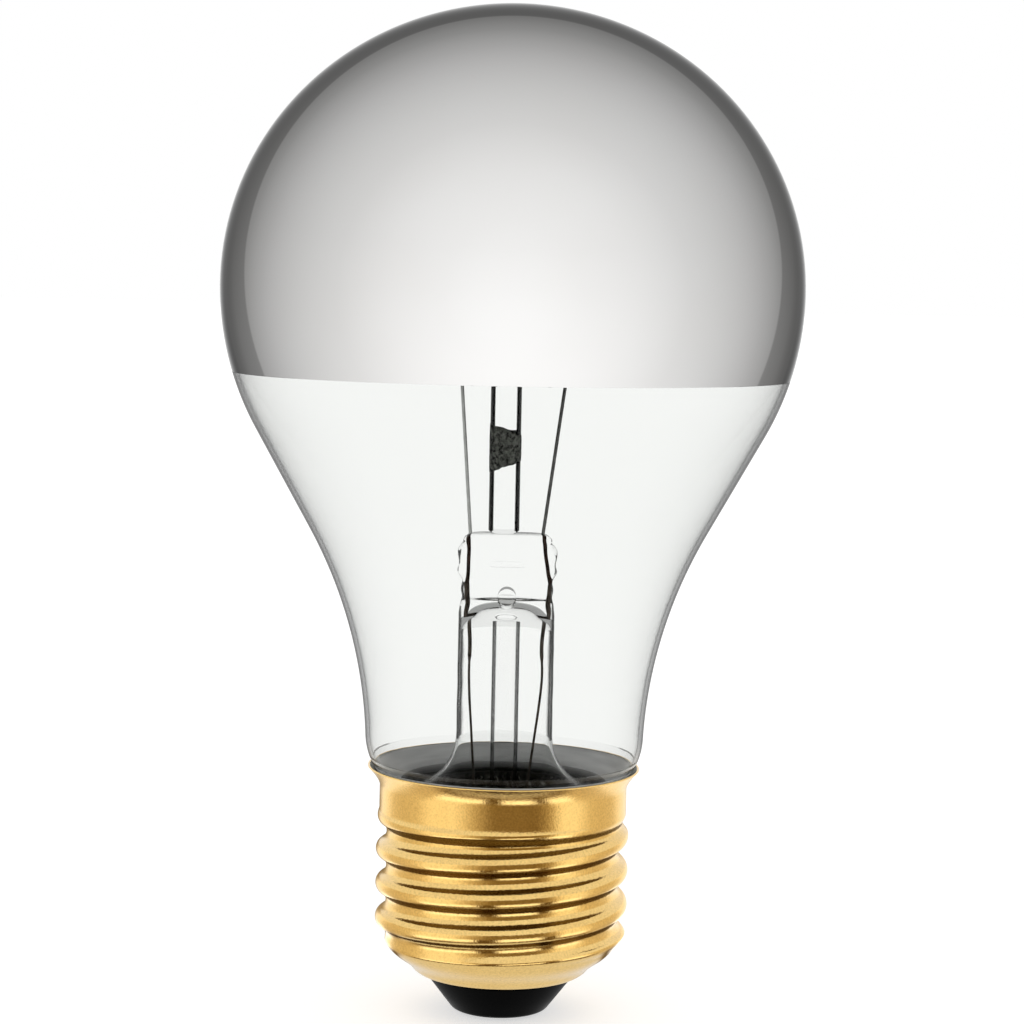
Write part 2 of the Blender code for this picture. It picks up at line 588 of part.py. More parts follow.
def main():
    for obj in list(bpy.data.objects):
        bpy.data.objects.remove(obj)
    clear_glass = make_material("clear_glass", (0.95, 0.97, 0.96), 0.0, transmission=1.0)
    silver = make_material("crown_silver", (0.88, 0.87, 0.85), 0.08, metallic=1.0)
    brass = make_material("shell_brass", (0.86, 0.65, 0.30), 0.28, metallic=1.0)
    vitrite = make_material("black_vitrite", (0.01, 0.01, 0.01), 0.3)
    cement = make_material("basing_cement", (0.09, 0.08, 0.07), 0.9)
    contact_metal = make_material("tinned_contact", (0.62, 0.58, 0.50), 0.4, metallic=1.0)
    solder = make_material("solder", (0.66, 0.66, 0.67), 0.4, metallic=1.0)
    nickel = make_material("nickel_wire", (0.60, 0.58, 0.55), 0.3, metallic=1.0)
    dumet = make_material("dumet_seal", (0.28, 0.10, 0.06), 0.4, metallic=1.0)
    copper = make_material("copper_lead", (0.55, 0.42, 0.34), 0.35, metallic=1.0)
    tungsten = make_material("tungsten", (0.30, 0.30, 0.31), 0.45, metallic=1.0)
    molybdenum = make_material("molybdenum_wire", (0.50, 0.50, 0.52), 0.35, metallic=1.0)
    getter = make_material("getter", (0.16, 0.16, 0.16), 0.7)

    build_contacts(contact_metal, solder)
    build_insulator(vitrite)
    build_shell(brass)
    build_cement(cement)
    build_glass(clear_glass, silver)
    build_stem(clear_glass)
    build_exhaust_tube(clear_glass)
    build_rod(clear_glass, getter)
    build_seals(dumet)
    build_upper_leads(nickel)
    build_lower_leads(copper)
    build_filament(tungsten)
    build_supports(molybdenum)


main()
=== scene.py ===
# Silver crown bulb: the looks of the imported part. Metres, +Z up, sizes in the dictionaries in millimetres.
from functools import partial
import math

import bmesh
import bpy
from mathutils import Matrix, Vector, noise


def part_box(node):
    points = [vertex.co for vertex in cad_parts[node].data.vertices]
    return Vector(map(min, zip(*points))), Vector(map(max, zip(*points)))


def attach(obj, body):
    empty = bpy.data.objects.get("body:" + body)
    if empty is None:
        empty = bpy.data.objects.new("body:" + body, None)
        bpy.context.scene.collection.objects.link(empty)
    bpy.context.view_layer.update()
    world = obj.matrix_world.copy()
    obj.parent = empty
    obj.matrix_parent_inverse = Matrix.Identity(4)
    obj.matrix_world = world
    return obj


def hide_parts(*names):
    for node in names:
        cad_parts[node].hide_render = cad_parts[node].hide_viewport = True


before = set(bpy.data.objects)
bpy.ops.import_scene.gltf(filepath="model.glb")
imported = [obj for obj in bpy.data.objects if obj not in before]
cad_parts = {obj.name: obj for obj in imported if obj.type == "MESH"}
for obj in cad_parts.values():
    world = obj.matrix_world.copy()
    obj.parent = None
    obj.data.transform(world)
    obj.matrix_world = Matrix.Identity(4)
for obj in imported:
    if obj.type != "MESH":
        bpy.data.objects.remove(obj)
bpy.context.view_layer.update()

mm = 0.001
fullTurn = 2 * math.pi
sharpEdge = math.radians(35)
wideSharpEdge = math.radians(50)


# Helpers for meshes

def finishPiece(piece, node):
    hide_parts(node)
    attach(piece, "root")
    print("made", piece.name, len(piece.data.polygons), "faces")


def newObject(name, data):
    piece = bpy.data.objects.new(name, data)
    bpy.context.scene.collection.objects.link(piece)
    return piece


def heightsOf(node):
    # the node's lowest and highest point in millimetres
    low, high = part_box(node)
    return low.z / mm, high.z / mm


def pieceFromBmesh(name, bm, material):
    bmesh.ops.remove_doubles(bm, verts=bm.verts, dist=0.0005 * mm)
    bmesh.ops.recalc_face_normals(bm, faces=bm.faces)
    mesh = bpy.data.meshes.new(name)
    bm.to_mesh(mesh)
    bm.free()
    mesh.materials.append(material)
    mesh.shade_smooth()
    mesh.set_sharp_from_angle(angle=sharpEdge)
    return newObject(name, mesh)


def turnedPiece(name, outline, material, steps, closed=False):
    # turns (radius, height) points in millimetres about Z; a closed outline is a loop off the axis
    bm = bmesh.new()
    points = [bm.verts.new((radius * mm, 0, height * mm)) for radius, height in outline]
    edges = [bm.edges.new(pair) for pair in zip(points, points[1:])]
    if closed:
        edges.append(bm.edges.new((points[-1], points[0])))
    bmesh.ops.spin(bm, geom=points + edges, axis=(0, 0, 1), cent=(0, 0, 0), angle=fullTurn,
                   steps=steps, use_merge=True)
    return pieceFromBmesh(name, bm, material)


def loftedPiece(name, rings, material, closed=False):
    # joins rings of equally many points; the end rings are capped unless the rings make a loop
    bm = bmesh.new()
    rows = [[bm.verts.new(Vector(point) * mm) for point in ring] for ring in rings]
    pairs = list(zip(rows, rows[1:]))
    if closed:
        pairs.append((rows[-1], rows[0]))
    else:
        bm.faces.new(rows[0])
        bm.faces.new(rows[-1])
    for first, second in pairs:
        for i in range(len(first)):
            j = (i + 1) % len(first)
            bm.faces.new((first[i], first[j], second[j], second[i]))
    return pieceFromBmesh(name, bm, material)


def arcPoints(centre, radii, start, end, steps):
    angles = [math.radians(start + (end - start) * i / steps) for i in range(steps + 1)]
    return [(centre[0] + radii[0] * math.cos(a), centre[1] + radii[1] * math.sin(a)) for a in angles]


def roundedOutline(corners, radius, steps=4):
    # an open outline whose inner corners are rounded off
    points = [corners[0]]
    for before, corner, after in zip(corners, corners[1:], corners[2:]):
        here = Vector(corner)
        toBefore, toAfter = Vector(before) - here, Vector(after) - here
        reach = min(radius, toBefore.length * 0.45, toAfter.length * 0.45)
        start, end = here + toBefore.normalized() * reach, here + toAfter.normalized() * reach
        for i in range(steps + 1):
            t = i / steps
            points.append(tuple(start * (1 - t) ** 2 + here * 2 * t * (1 - t) + end * t * t))
    points.append(corners[-1])
    return points


def smoothPath(points, steps=8):
    # a curve through the points, its ends straight
    knots = [Vector(p) for p in points]
    knots = [knots[0] * 2 - knots[1]] + knots + [knots[-1] * 2 - knots[-2]]
    path = []
    for a, b, c, d in zip(knots, knots[1:], knots[2:], knots[3:]):
        for i in range(steps):
            t = i / steps
            path.append(0.5 * (2 * b + (c - a) * t + (2 * a - 5 * b + 4 * c - d) * t * t
                               + (3 * b - a - 3 * c + d) * t ** 3))
    return path + [knots[-2]]


def paintFaces(piece, material, chosen):
    # gives the chosen faces a finish of their own
    piece.data.materials.append(material)
    slot = len(piece.data.materials) - 1
    for face in piece.data.polygons:
        if chosen(face):
            face.material_index = slot


def lineInside(piece, material, centreHeight=None, below=1000.0):
    # paints the faces that look inwards, towards the axis or towards a centre at this height on it
    def looksIn(face):
        outward = face.center.copy()
        outward.z = 0 if centreHeight is None else outward.z - centreHeight * mm
        return face.normal.dot(outward) < 0 and face.center.z < below * mm

    paintFaces(piece, material, looksIn)


def keepResult(piece):
    # makes what the modifiers give the piece's plain mesh
    graph = bpy.context.evaluated_depsgraph_get()
    result = bpy.data.meshes.new_from_object(piece.evaluated_get(graph), depsgraph=graph)
    piece.modifiers.clear()
    piece.data = result


# Helpers for node trees

def addNode(tree, kind, inputs=None, **settings):
    node = tree.nodes.new(kind)
    for name, value in settings.items():
        setattr(node, name, value)
    for socket, value in (inputs or {}).items():
        if isinstance(value, bpy.types.NodeSocket):
            tree.links.new(value, node.inputs[socket])
        else:
            node.inputs[socket].default_value = value
    return node


def calc(tree, operation, *values):
    return addNode(tree, "ShaderNodeMath", dict(enumerate(values)), operation=operation).outputs[0]


def sumsIn(tree):
    # plus, minus, times and over as functions that add a node to the tree
    return [partial(calc, tree, operation) for operation in ("ADD", "SUBTRACT", "MULTIPLY", "DIVIDE")]


def mapRange(tree, value, fromMin, fromMax, toMin=0.0, toMax=1.0):
    inputs = {"Value": value, "From Min": fromMin, "From Max": fromMax, "To Min": toMin, "To Max": toMax}
    return addNode(tree, "ShaderNodeMapRange", inputs).outputs[0]


def mixColours(tree, factor, first, second, blend="MIX"):
    # the Mix node's colour sockets are its inputs 6 and 7 and its output 2
    inputs = {0: factor, 6: first, 7: second}
    return addNode(tree, "ShaderNodeMix", inputs, data_type="RGBA", blend_type=blend).outputs[2]


def rampOf(tree, factor, stops):
    # stops are positions with a grey level or a colour
    ramp = addNode(tree, "ShaderNodeValToRGB", {"Fac": factor})
    while len(ramp.color_ramp.elements) < len(stops):
        ramp.color_ramp.elements.new(1.0)
    for element, (position, colour) in zip(ramp.color_ramp.elements, stops):
        element.position = position
        shade = (colour,) * 3 if isinstance(colour, (int, float)) else colour
        element.color = (*shade, 1)
    return ramp.outputs["Color"]


def newMaterial(name, **sockets):
    material = bpy.data.materials.new(name)
    material.use_nodes = True
    shader = material.node_tree.nodes["Principled BSDF"]
    for socket, value in sockets.items():
        shader.inputs[socket.replace("_", " ")].default_value = value
    return material, material.node_tree, shader


def objectPlace(tree):
    return addNode(tree, "ShaderNodeTexCoord").outputs["Object"]


def coordinates(tree, vector):
    return addNode(tree, "ShaderNodeSeparateXYZ", {"Vector": vector}).outputs


def lightPath(tree):
    return addNode(tree, "ShaderNodeLightPath").outputs


def objectNoise(tree, scale, detail=2, roughness=0.5, stretch=None):
    place = objectPlace(tree)
    if stretch:
        place = addNode(tree, "ShaderNodeMapping", {"Vector": place, "Scale": stretch}).outputs[0]
    inputs = {"Vector": place, "Scale": scale, "Detail": detail, "Roughness": roughness}
    return addNode(tree, "ShaderNodeTexNoise", inputs).outputs["Fac"]


def addBump(tree, shader, height, distance, strength=1.0):
    bump = addNode(tree, "ShaderNodeBump", {"Height": height, "Distance": distance, "Strength": strength})
    tree.links.new(bump.outputs[0], shader.inputs["Normal"])


def newGeometryTree(name, inputs):
    tree = bpy.data.node_groups.new(name, "GeometryNodeTree")
    tree.interface.new_socket("Geometry", in_out="INPUT", socket_type="NodeSocketGeometry")
    for label, value in inputs.items():
        kind = "NodeSocketInt" if isinstance(value, int) else "NodeSocketFloat"
        tree.interface.new_socket(label, in_out="INPUT", socket_type=kind).default_value = value
    tree.interface.new_socket("Geometry", in_out="OUTPUT", socket_type="NodeSocketGeometry")
    return tree, tree.nodes.new("NodeGroupInput").outputs


def endTree(tree, geometry, material):
    real = addNode(tree, "GeometryNodeRealizeInstances", {"Geometry": geometry})
    smooth = addNode(tree, "GeometryNodeSetShadeSmooth", {"Geometry": real.outputs[0]})
    painted = addNode(tree, "GeometryNodeSetMaterial", {"Geometry": smooth.outputs[0], "Material": material})
    addNode(tree, "NodeGroupOutput", {"Geometry": painted.outputs[0]})


def runTree(piece, tree, values):
    # runs the tree on the piece with these inputs and keeps the result as its plain mesh
    modifier = piece.modifiers.new(tree.name, "NODES")
    modifier.node_group = tree
    for item in tree.interface.items_tree:
        if item.in_out == "INPUT" and item.name in values:
            modifier[item.identifier] = values[item.name]
    rough = piece.data
    keepResult(piece)
    bpy.data.meshes.remove(rough)


# Materials

def facingOf(tree):
    # 0 where the surface faces the viewer, 1 at its edge
    return addNode(tree, "ShaderNodeLayerWeight", {"Blend": 0.5}).outputs["Facing"]


def glassMaterial(name, ior, edges, tint=(1.0, 1.0, 1.0), waviness=0.0, roughness=0.0, sheen=0.4):
    # clear glass whose colour is painted darker at its edges as they turn away: painted shade, as glass shows against a
    # bright background
    material, tree, shader = newMaterial(name, Roughness=roughness, IOR=ior, Transmission_Weight=1.0,
                                         Specular_Tint=(sheen, sheen, sheen, 1))
    stops = [(0.0, tint)] + [(position, tuple(t * level for t in tint)) for position, level in edges]
    tree.links.new(rampOf(tree, facingOf(tree), stops), shader.inputs["Base Color"])
    if waviness:
        addBump(tree, shader, objectNoise(tree, 300, 1), waviness * mm)
    return material


def crownMaterial(equator, radius):
    # mirror coat under glass: bright, a touch warm; painted reflection: its colour dims as it turns away, and a dark
    # band is painted round its rim as the glass's dark edge
    material, tree, shader = newMaterial("crownSilver", Metallic=1.0, Specular_Tint=(0.3, 0.3, 0.3, 1))
    facing = facingOf(tree)
    z = coordinates(tree, objectPlace(tree))["Z"]
    rise = calc(tree, "DIVIDE", calc(tree, "SUBTRACT", z, equator * mm), radius * mm)
    # painted reflection: the mirror's colour dims as the surface turns away
    paintedDimming = rampOf(tree, facing, [(0.0, 0.9), (0.03, 0.85), (0.1, 0.775), (0.2, 0.65), (0.35, 0.53),
                                 (0.49, 0.42), (0.6, 0.36), (1.0, 0.35)])
    # painted shade: a dark band round the rim, further out where the surface is higher
    turned = calc(tree, "SUBTRACT", facing, calc(tree, "MULTIPLY", rise, 0.13))
    edge = rampOf(tree, turned, [(0.594, 1.0), (0.606, 0.7), (0.7, 0.78), (0.8, 0.73), (0.87, 0.3), (1.0, 0.1)])
    clouds = rampOf(tree, objectNoise(tree, 60, 3), [(0.3, (0.98, 0.97, 0.955)), (0.7, (1.0, 0.995, 0.985))])
    shade = mixColours(tree, 1.0, mixColours(tree, 1.0, paintedDimming, edge, "MULTIPLY"), clouds, "MULTIPLY")
    tree.links.new(shade, shader.inputs["Base Color"])
    tree.links.new(mapRange(tree, objectNoise(tree, 180), 0.0, 1.0, 0.05, 0.09), shader.inputs["Roughness"])
    return material


def brassMaterial():
    # rolled sheet brass: satin with a sandy grain, in two close shades
    material, tree, shader = newMaterial("shellBrass", Metallic=1.0)
    patches = objectNoise(tree, 140, 3)
    grain = objectNoise(tree, 4200, 2, 0.7)
    colour = rampOf(tree, patches, [(0.3, (0.87, 0.58, 0.20)), (0.7, (0.92, 0.64, 0.24))])
    sand = rampOf(tree, grain, [(0.36, 0.86), (0.58, 1.0)])
    tree.links.new(mixColours(tree, 1.0, colour, sand, "MULTIPLY"), shader.inputs["Base Color"])
    tree.links.new(mapRange(tree, grain, 0.3, 0.7, 0.07, 0.18), shader.inputs["Roughness"])
    addBump(tree, shader, grain, 0.018 * mm, 0.8)
    return material


def plainMaterial(name, dark, light, scale, roughness, metallic=0.0, bump=0.0, bumpScale=400, specular=0.5):
    # two shades in clouds, with a fine grain
    material, tree, shader = newMaterial(name, Roughness=roughness, Metallic=metallic, Specular_IOR_Level=specular)
    clouds = objectNoise(tree, scale, 3, 0.6)
    tree.links.new(rampOf(tree, clouds, [(0.35, dark), (0.65, light)]), shader.inputs["Base Color"])
    if bump:
        addBump(tree, shader, objectNoise(tree, bumpScale, 2), bump * mm)
    return material


def speckledMaterial(name, dark, light, paintedGlint, scale):
    # dark and rough, with a few bright spots painted into its colour as glints
    material, tree, shader = newMaterial(name, Roughness=0.5, Specular_IOR_Level=0.1)
    clouds = rampOf(tree, objectNoise(tree, scale * 0.4, 3, 0.6), [(0.4, dark), (0.62, light)])
    paintedGlintSpots = rampOf(tree, objectNoise(tree, scale, 3, 0.6), [(0.6, 0.0), (0.72, 1.0)])
    tree.links.new(mixColours(tree, paintedGlintSpots, clouds, (*paintedGlint, 1)), shader.inputs["Base Color"])
    addBump(tree, shader, objectNoise(tree, scale, 2), 0.15 * mm)
    return material


def sealedNeckMaterial(low, high):
    # the neck's end, milky in fine rings where it was melted to the flare, and painted darker towards the bottom as
    # shade where it goes down into the cap
    material, tree, shader = newMaterial("sealedNeck", Roughness=0.25, IOR=1.3, Transmission_Weight=0.05)
    share = mapRange(tree, coordinates(tree, objectPlace(tree))["Z"], low * mm, high * mm)
    # milky glass at the top, painted shade lower down
    milkAndShade = rampOf(tree, share, [(0.0, 0.04), (0.3, 0.3), (0.6, 0.88), (1.0, 0.97)])
    rings = rampOf(tree, objectNoise(tree, 700, 2, stretch=(0.12, 0.12, 1.0)), [(0.4, 0.74), (0.6, 1.0)])
    tree.links.new(mixColours(tree, 1.0, milkAndShade, rings, "MULTIPLY"), shader.inputs["Base Color"])
    return material


# each glass's edge ramp below is painted shade: its colour darkens as the surface turns away
bulbTint = (0.9, 0.907, 0.897)
envelopeGlass = glassMaterial("envelopeGlass", 1.15, [
    (0.3, 1.0), (0.5, 0.98), (0.64, 0.96), (0.78, 0.92), (0.84, 0.6), (0.88, 0.1), (1.0, 0.0)], bulbTint)
neckGlass = glassMaterial("neckGlass", 1.35, [(0.78, 0.9), (0.9, 0.3), (1.0, 0.0)], bulbTint, roughness=0.07,
                          sheen=1.0)
rodGlass = glassMaterial("rodGlass", 1.3, [(0.25, 1.0), (0.30, 0.0), (1.0, 0.0)])
tubeGlass = glassMaterial("tubeGlass", 1.3, [(0.42, 1.0), (0.52, 0.05), (0.7, 0.0), (1.0, 0.0)], waviness=0.02)
stemGlass = glassMaterial("stemGlass", 1.12, [(0.6, 1.0), (0.68, 0.2), (0.73, 0.0), (1.0, 0.0)], waviness=0.03)
foldGlass = glassMaterial("foldGlass", 1.12, [(0.84, 1.0), (0.93, 0.3), (0.98, 0.0), (1.0, 0.0)], waviness=0.03)
flareGlass = glassMaterial("flareGlass", 1.1, [(0.6, 0.97), (0.85, 0.85), (0.95, 0.4), (1.0, 0.1)],
                           (0.93, 0.935, 0.93))
shellBrass = brassMaterial()
blackVitrite = plainMaterial("blackVitrite", 0.0008, 0.0016, 300, 0.35, bump=0.01, specular=0.015)
# painted glints: the cement and the shell's inside get bright spots in their colour
baseCement = speckledMaterial("baseCement", 0.004, (0.1, 0.1, 0.095), (0.6, 0.6, 0.57), 1500)
# painted shade: the shell's inside is near-black where it is brass
shellInsidePaintedShade = speckledMaterial("shellInsidePaintedShade", 0.004, (0.1, 0.1, 0.095), (0.6, 0.6, 0.57), 1300)
# painted light: the lip's inside is pale grey where it is brass
lipInsidePaintedLight = plainMaterial("lipInsidePaintedLight", (0.6, 0.61, 0.58), (0.9, 0.92, 0.87), 500, 0.5, bump=0.05)
crownInside = plainMaterial("crownInside", (0.82, 0.82, 0.81), (0.88, 0.88, 0.87), 60, 0.12, 0.45)
tinnedMetal = plainMaterial("tinnedMetal", (0.50, 0.47, 0.41), (0.66, 0.62, 0.54), 900, 0.38, 1.0, bump=0.02)
solderTin = plainMaterial("solderTin", (0.52, 0.52, 0.53), (0.72, 0.72, 0.73), 1200, 0.33, 1.0, bump=0.05)
nickelWire = plainMaterial("nickelWire", (0.56, 0.57, 0.55), (0.74, 0.75, 0.73), 800, 0.35, 1.0)
# painted shade: the same nickel as above, darker, for the right upper lead
shadedNickelWire = plainMaterial("shadedNickelWire", (0.10, 0.10, 0.095), (0.2, 0.2, 0.19), 800, 0.35, 1.0)
dumetWire = plainMaterial("dumetWire", (0.02, 0.014, 0.012), (0.06, 0.035, 0.028), 900, 0.4, 1.0)
copperWire = plainMaterial("copperWire", (0.03, 0.025, 0.02), (0.10, 0.08, 0.065), 900, 0.4, 1.0)
tungstenWire = plainMaterial("tungstenWire", (0.14, 0.14, 0.145), (0.26, 0.26, 0.27), 1500, 0.42, 1.0)
molybdenumWire = plainMaterial("molybdenumWire", (0.3, 0.3, 0.31), (0.48, 0.48, 0.5), 900, 0.33, 1.0)
getterGrey = plainMaterial("getterGrey", 0.0, (0.13, 0.135, 0.12), 2400, 0.7, bump=0.05, bumpScale=3000,
                           specular=0.1)
print("materials ready")


# Camera and light

cameraPlace = {"side": 0.36, "distance": 280, "height": 77.1, "tilt": 5, "roll": 1.137, "lens": 95.31}
camera = newObject("camera", bpy.data.cameras.new("camera"))
bpy.context.scene.camera = camera
camera.data.lens = cameraPlace["lens"]
camera.data.clip_start, camera.data.clip_end = 0.01, 20
facingBulb = Matrix.Rotation(math.radians(90 - cameraPlace["tilt"]), 4, "X")
rolled = Matrix.Rotation(math.radians(cameraPlace["roll"]), 4, "Z")
stand = Vector((cameraPlace["side"], -cameraPlace["distance"], cameraPlace["height"])) * mm
camera.matrix_world = Matrix.Translation(stand) @ facingBulb @ rolled
bpy.context.scene.view_settings.view_transform = "Standard"

studio = {
    "roomLight": 0.9, "floorHalf": 6.0, "floorShade": 0.62, "floorLift": 0.58, "brightest": 1.25, "glassRoom": 0.4,
    "stripLight": 1.7, "funnel": [(6.0, 0.2), (14.5, 0.4), (19.0, 1.5), (26.0, 4.0), (60.0, 30.0)],
    "funnelSteps": 96, "underTaper": 0.5, "underThread": 0.1, "secondReflection": 0.15, "reach": (38, 44),
    "highStrips": [(-90, 0.46), (-74, 0.5), (-60, 0.72), (-38, 0.72), (-22, 0.38), (-8, 0.16), (28, 0.15),
                   (38, 0.3), (48, 0.72), (62, 0.72), (76, 0.5), (90, 0.46)],
    "lowStrips": [(-90, 0.42), (-70, 0.46), (-60, 1.0), (-20, 1.0), (-14, 0.08), (-4, 0.08), (2, 1.0), (28, 1.0),
                  (33, 0.08), (40, 0.08), (46, 1.0), (64, 1.0), (74, 0.46), (90, 0.42)],
}


def whiteRays(tree):
    # 1 for the rays that show the background: straight, or through glass without a reflection on the way
    path = lightPath(tree)
    shown = calc(tree, "MAXIMUM", path["Is Camera Ray"], path["Is Transmission Ray"])
    return calc(tree, "MULTIPLY", shown, calc(tree, "LESS_THAN", path["Glossy Depth"], 0.5))


def fadedAgain(tree):
    # 1 for a first reflection and less for the ones after it, as deep in a groove
    again = calc(tree, "GREATER_THAN", lightPath(tree)["Glossy Depth"], 1.5)
    return calc(tree, "MULTIPLY_ADD", again, studio["secondReflection"] - 1.0, 1.0)


def buildWorld():
    # white behind the bulb; satin metal sees a room that brightens a little towards the table,
    # and sharp glass a darker one, as with dark cards beside the camera
    world = bpy.data.worlds.new("studio")
    bpy.context.scene.world = world
    world.use_nodes = True
    tree = world.node_tree
    background = tree.nodes["Background"]
    path = lightPath(tree)
    upwards = coordinates(tree, addNode(tree, "ShaderNodeTexCoord").outputs["Generated"])["Z"]
    room = rampOf(tree, mapRange(tree, upwards, -1.0, 1.0), [
        (0.0, 0.76), (0.1, 0.8), (0.22, 0.944), (0.33, 0.888), (0.5, 0.824), (0.64, 0.792), (1.0, 0.784)])
    room = calc(tree, "MULTIPLY", room, calc(tree, "MULTIPLY", fadedAgain(tree), studio["brightest"]))
    glassRoom = (studio["glassRoom"],) * 3 + (1,)
    glossy = mixColours(tree, path["Is Singular Ray"], room, glassRoom)
    reflected = calc(tree, "GREATER_THAN", path["Glossy Depth"], 0.5)
    shade = mixColours(tree, reflected, (studio["roomLight"],) * 3 + (1,), glossy)
    shade = mixColours(tree, whiteRays(tree), shade, (1, 1, 1, 1))
    tree.links.new(shade, background.inputs["Color"])


def stagePiece(name, vertices, faces, material):
    mesh = bpy.data.meshes.new(name)
    mesh.from_pydata(vertices, [], faces)
    mesh.materials.append(material)
    piece = newObject(name, mesh)
    return piece


def buildFloor():
    # pale floor: it keeps the shadow, and what it lacks of white is added for the rays that show it
    half = studio["floorHalf"]
    shade = studio["floorShade"]
    material, tree, shader = newMaterial("paleFloor", Base_Color=(shade, shade, shade, 1), Roughness=1.0,
                                         Specular_IOR_Level=0.0, Emission_Color=(1, 1, 1, 1))
    tree.links.new(calc(tree, "MULTIPLY", whiteRays(tree), studio["floorLift"]), shader.inputs["Emission Strength"])
    floor = stagePiece("floor", [(-half, -half, 0), (half, -half, 0), (half, half, 0), (-half, half, 0)],
                       [(0, 1, 2, 3)], material)
    floor.visible_glossy = False


def stripStops(stops):
    # from degrees off the middle of the front to a ramp's positions; the dimmer a strip, the warmer
    return [((degrees + 90) / 180, (level, level ** 1.18, level ** 1.57)) for degrees, level in stops]


def buildReflector():
    # a funnel of light and dark strips round the base, the same in front and behind; only reflections show it,
    # those of the base and of the glass near it
    material, tree, shader = newMaterial("reflectorStrips")
    tree.nodes.remove(shader)
    plus, minus, times, over = sumsIn(tree)
    x, y, z = coordinates(tree, objectPlace(tree))
    front = times(calc(tree, "SIGN", y), -1.0)
    angle = calc(tree, "ARCTAN2", times(x, front), calc(tree, "ABSOLUTE", y))
    across = plus(over(angle, math.pi), 0.5)
    fromAxis = calc(tree, "SQRT", plus(times(x, x), times(y, y)))

    def outwards(start, end, inner, outer):
        # from one shade to another between two distances from the axis
        return mixColours(tree, mapRange(tree, fromAxis, start * mm, end * mm), inner, outer)

    # from the outermost ring of the funnel to the one under the taper
    dark, pale = studio["underThread"], studio["underTaper"]
    radii = [radius for radius, height in studio["funnel"]]
    low, high = (rampOf(tree, across, stripStops(studio[name])) for name in ("lowStrips", "highStrips"))
    under = rampOf(tree, across, stripStops([(-90, pale), (-66, dark), (66, dark), (90, pale)]))
    strips = outwards(radii[3] - 3, radii[3] + 2, low, high)
    strips = outwards(radii[2] - 2, radii[2] + 2, under, strips)
    strips = outwards(radii[1], radii[1] + 1.5, (pale, pale, pale, 1), strips)
    strength = times(fadedAgain(tree), studio["stripLight"])
    light = addNode(tree, "ShaderNodeEmission", {"Color": strips, "Strength": strength}).outputs[0]
    # beyond its reach the funnel is clear, so that the crown doesn't mirror it
    clear = addNode(tree, "ShaderNodeBsdfTransparent").outputs[0]
    near, far = studio["reach"]
    beyond = mapRange(tree, lightPath(tree)["Ray Length"], near * mm, far * mm)
    mixed = addNode(tree, "ShaderNodeMixShader", {0: beyond, 1: light, 2: clear}).outputs[0]
    tree.links.new(mixed, tree.nodes["Material Output"].inputs["Surface"])
    count = studio["funnelSteps"]
    vertices = [(radius * mm * math.cos(fullTurn * i / count), radius * mm * math.sin(fullTurn * i / count),
                 height * mm) for radius, height in studio["funnel"] for i in range(count)]
    faces = [(row * count + i, row * count + (i + 1) % count, (row + 1) * count + (i + 1) % count,
              (row + 1) * count + i) for row in range(len(radii) - 1) for i in range(count)]
    funnel = stagePiece("reflectorFunnel", vertices, faces, material)
    funnel.visible_camera = funnel.visible_diffuse = funnel.visible_transmission = funnel.visible_shadow = False


buildWorld()
buildFloor()
buildReflector()
print("camera, world and stage ready")


# Glass bulb and its mirror coat

bulb = {
    "radius": 30.0, "domeHeight": 29.0, "crownDrop": 8.8, "crownThickness": 0.2, "wall": 0.4,
    "shoulderAngle": 29.0, "neckArcRadius": 49.1, "neckRadius": 14.5, "neckSlope": 3.0,
    "neckTurnHeight": 5.1, "neckEndRadius": 11.2, "neckEndLength": 1.3, "seat": 0.22, "edgeGap": 0.02,
    "neckGlassDrop": 2.6, "sealDrop": 0.1, "steps": 144,
}
bulbEquator = heightsOf("silver_crown")[1] - bulb["domeHeight"]
neckEnd = heightsOf("glass_envelope")[0]
shellBottom, lipTop = heightsOf("screw_shell")
neckTurn = neckEnd + bulb["neckEndLength"] + bulb["neckTurnHeight"]
sealTop = lipTop - bulb["sealDrop"]


def crownSide(inset, domeSteps=44, bandSteps=10):
    edgeAngle = math.degrees(math.asin(bulb["crownDrop"] / bulb["radius"]))
    dome = arcPoints((0, bulbEquator), (bulb["radius"] - inset, bulb["domeHeight"] - inset), 90, 0, domeSteps)
    band = arcPoints((0, bulbEquator), (bulb["radius"] - inset,) * 2, 0, -edgeAngle, bandSteps)
    return [(0, bulbEquator + bulb["domeHeight"] - inset)] + dome[1:] + band[1:]


def clearSide(inset):
    radius, turn, slope = bulb["radius"], bulb["shoulderAngle"], bulb["neckSlope"]
    neckRadius, endRadius, arcRadius = bulb["neckRadius"], bulb["neckEndRadius"], bulb["neckArcRadius"]
    start = math.degrees(math.asin((bulb["crownDrop"] + bulb["edgeGap"]) / radius))
    ball = arcPoints((0, bulbEquator), (radius - inset,) * 2, -start, -turn, 8)
    arcCentre = (neckRadius + arcRadius * math.cos(math.radians(slope)),
                 neckTurn - arcRadius * math.sin(math.radians(slope)))
    neck = arcPoints(arcCentre, (-arcRadius - inset, arcRadius + inset), turn, slope, 24)
    cone = [tuple(Vector(ball[-1]).lerp(Vector(neck[0]), i / 8)) for i in range(1, 8)]
    curl = arcPoints((endRadius - inset, neckTurn), (neckRadius - endRadius, bulb["neckTurnHeight"]), -7, -90, 14)
    return ball + cone + neck + curl + [(endRadius - inset, neckEnd)]


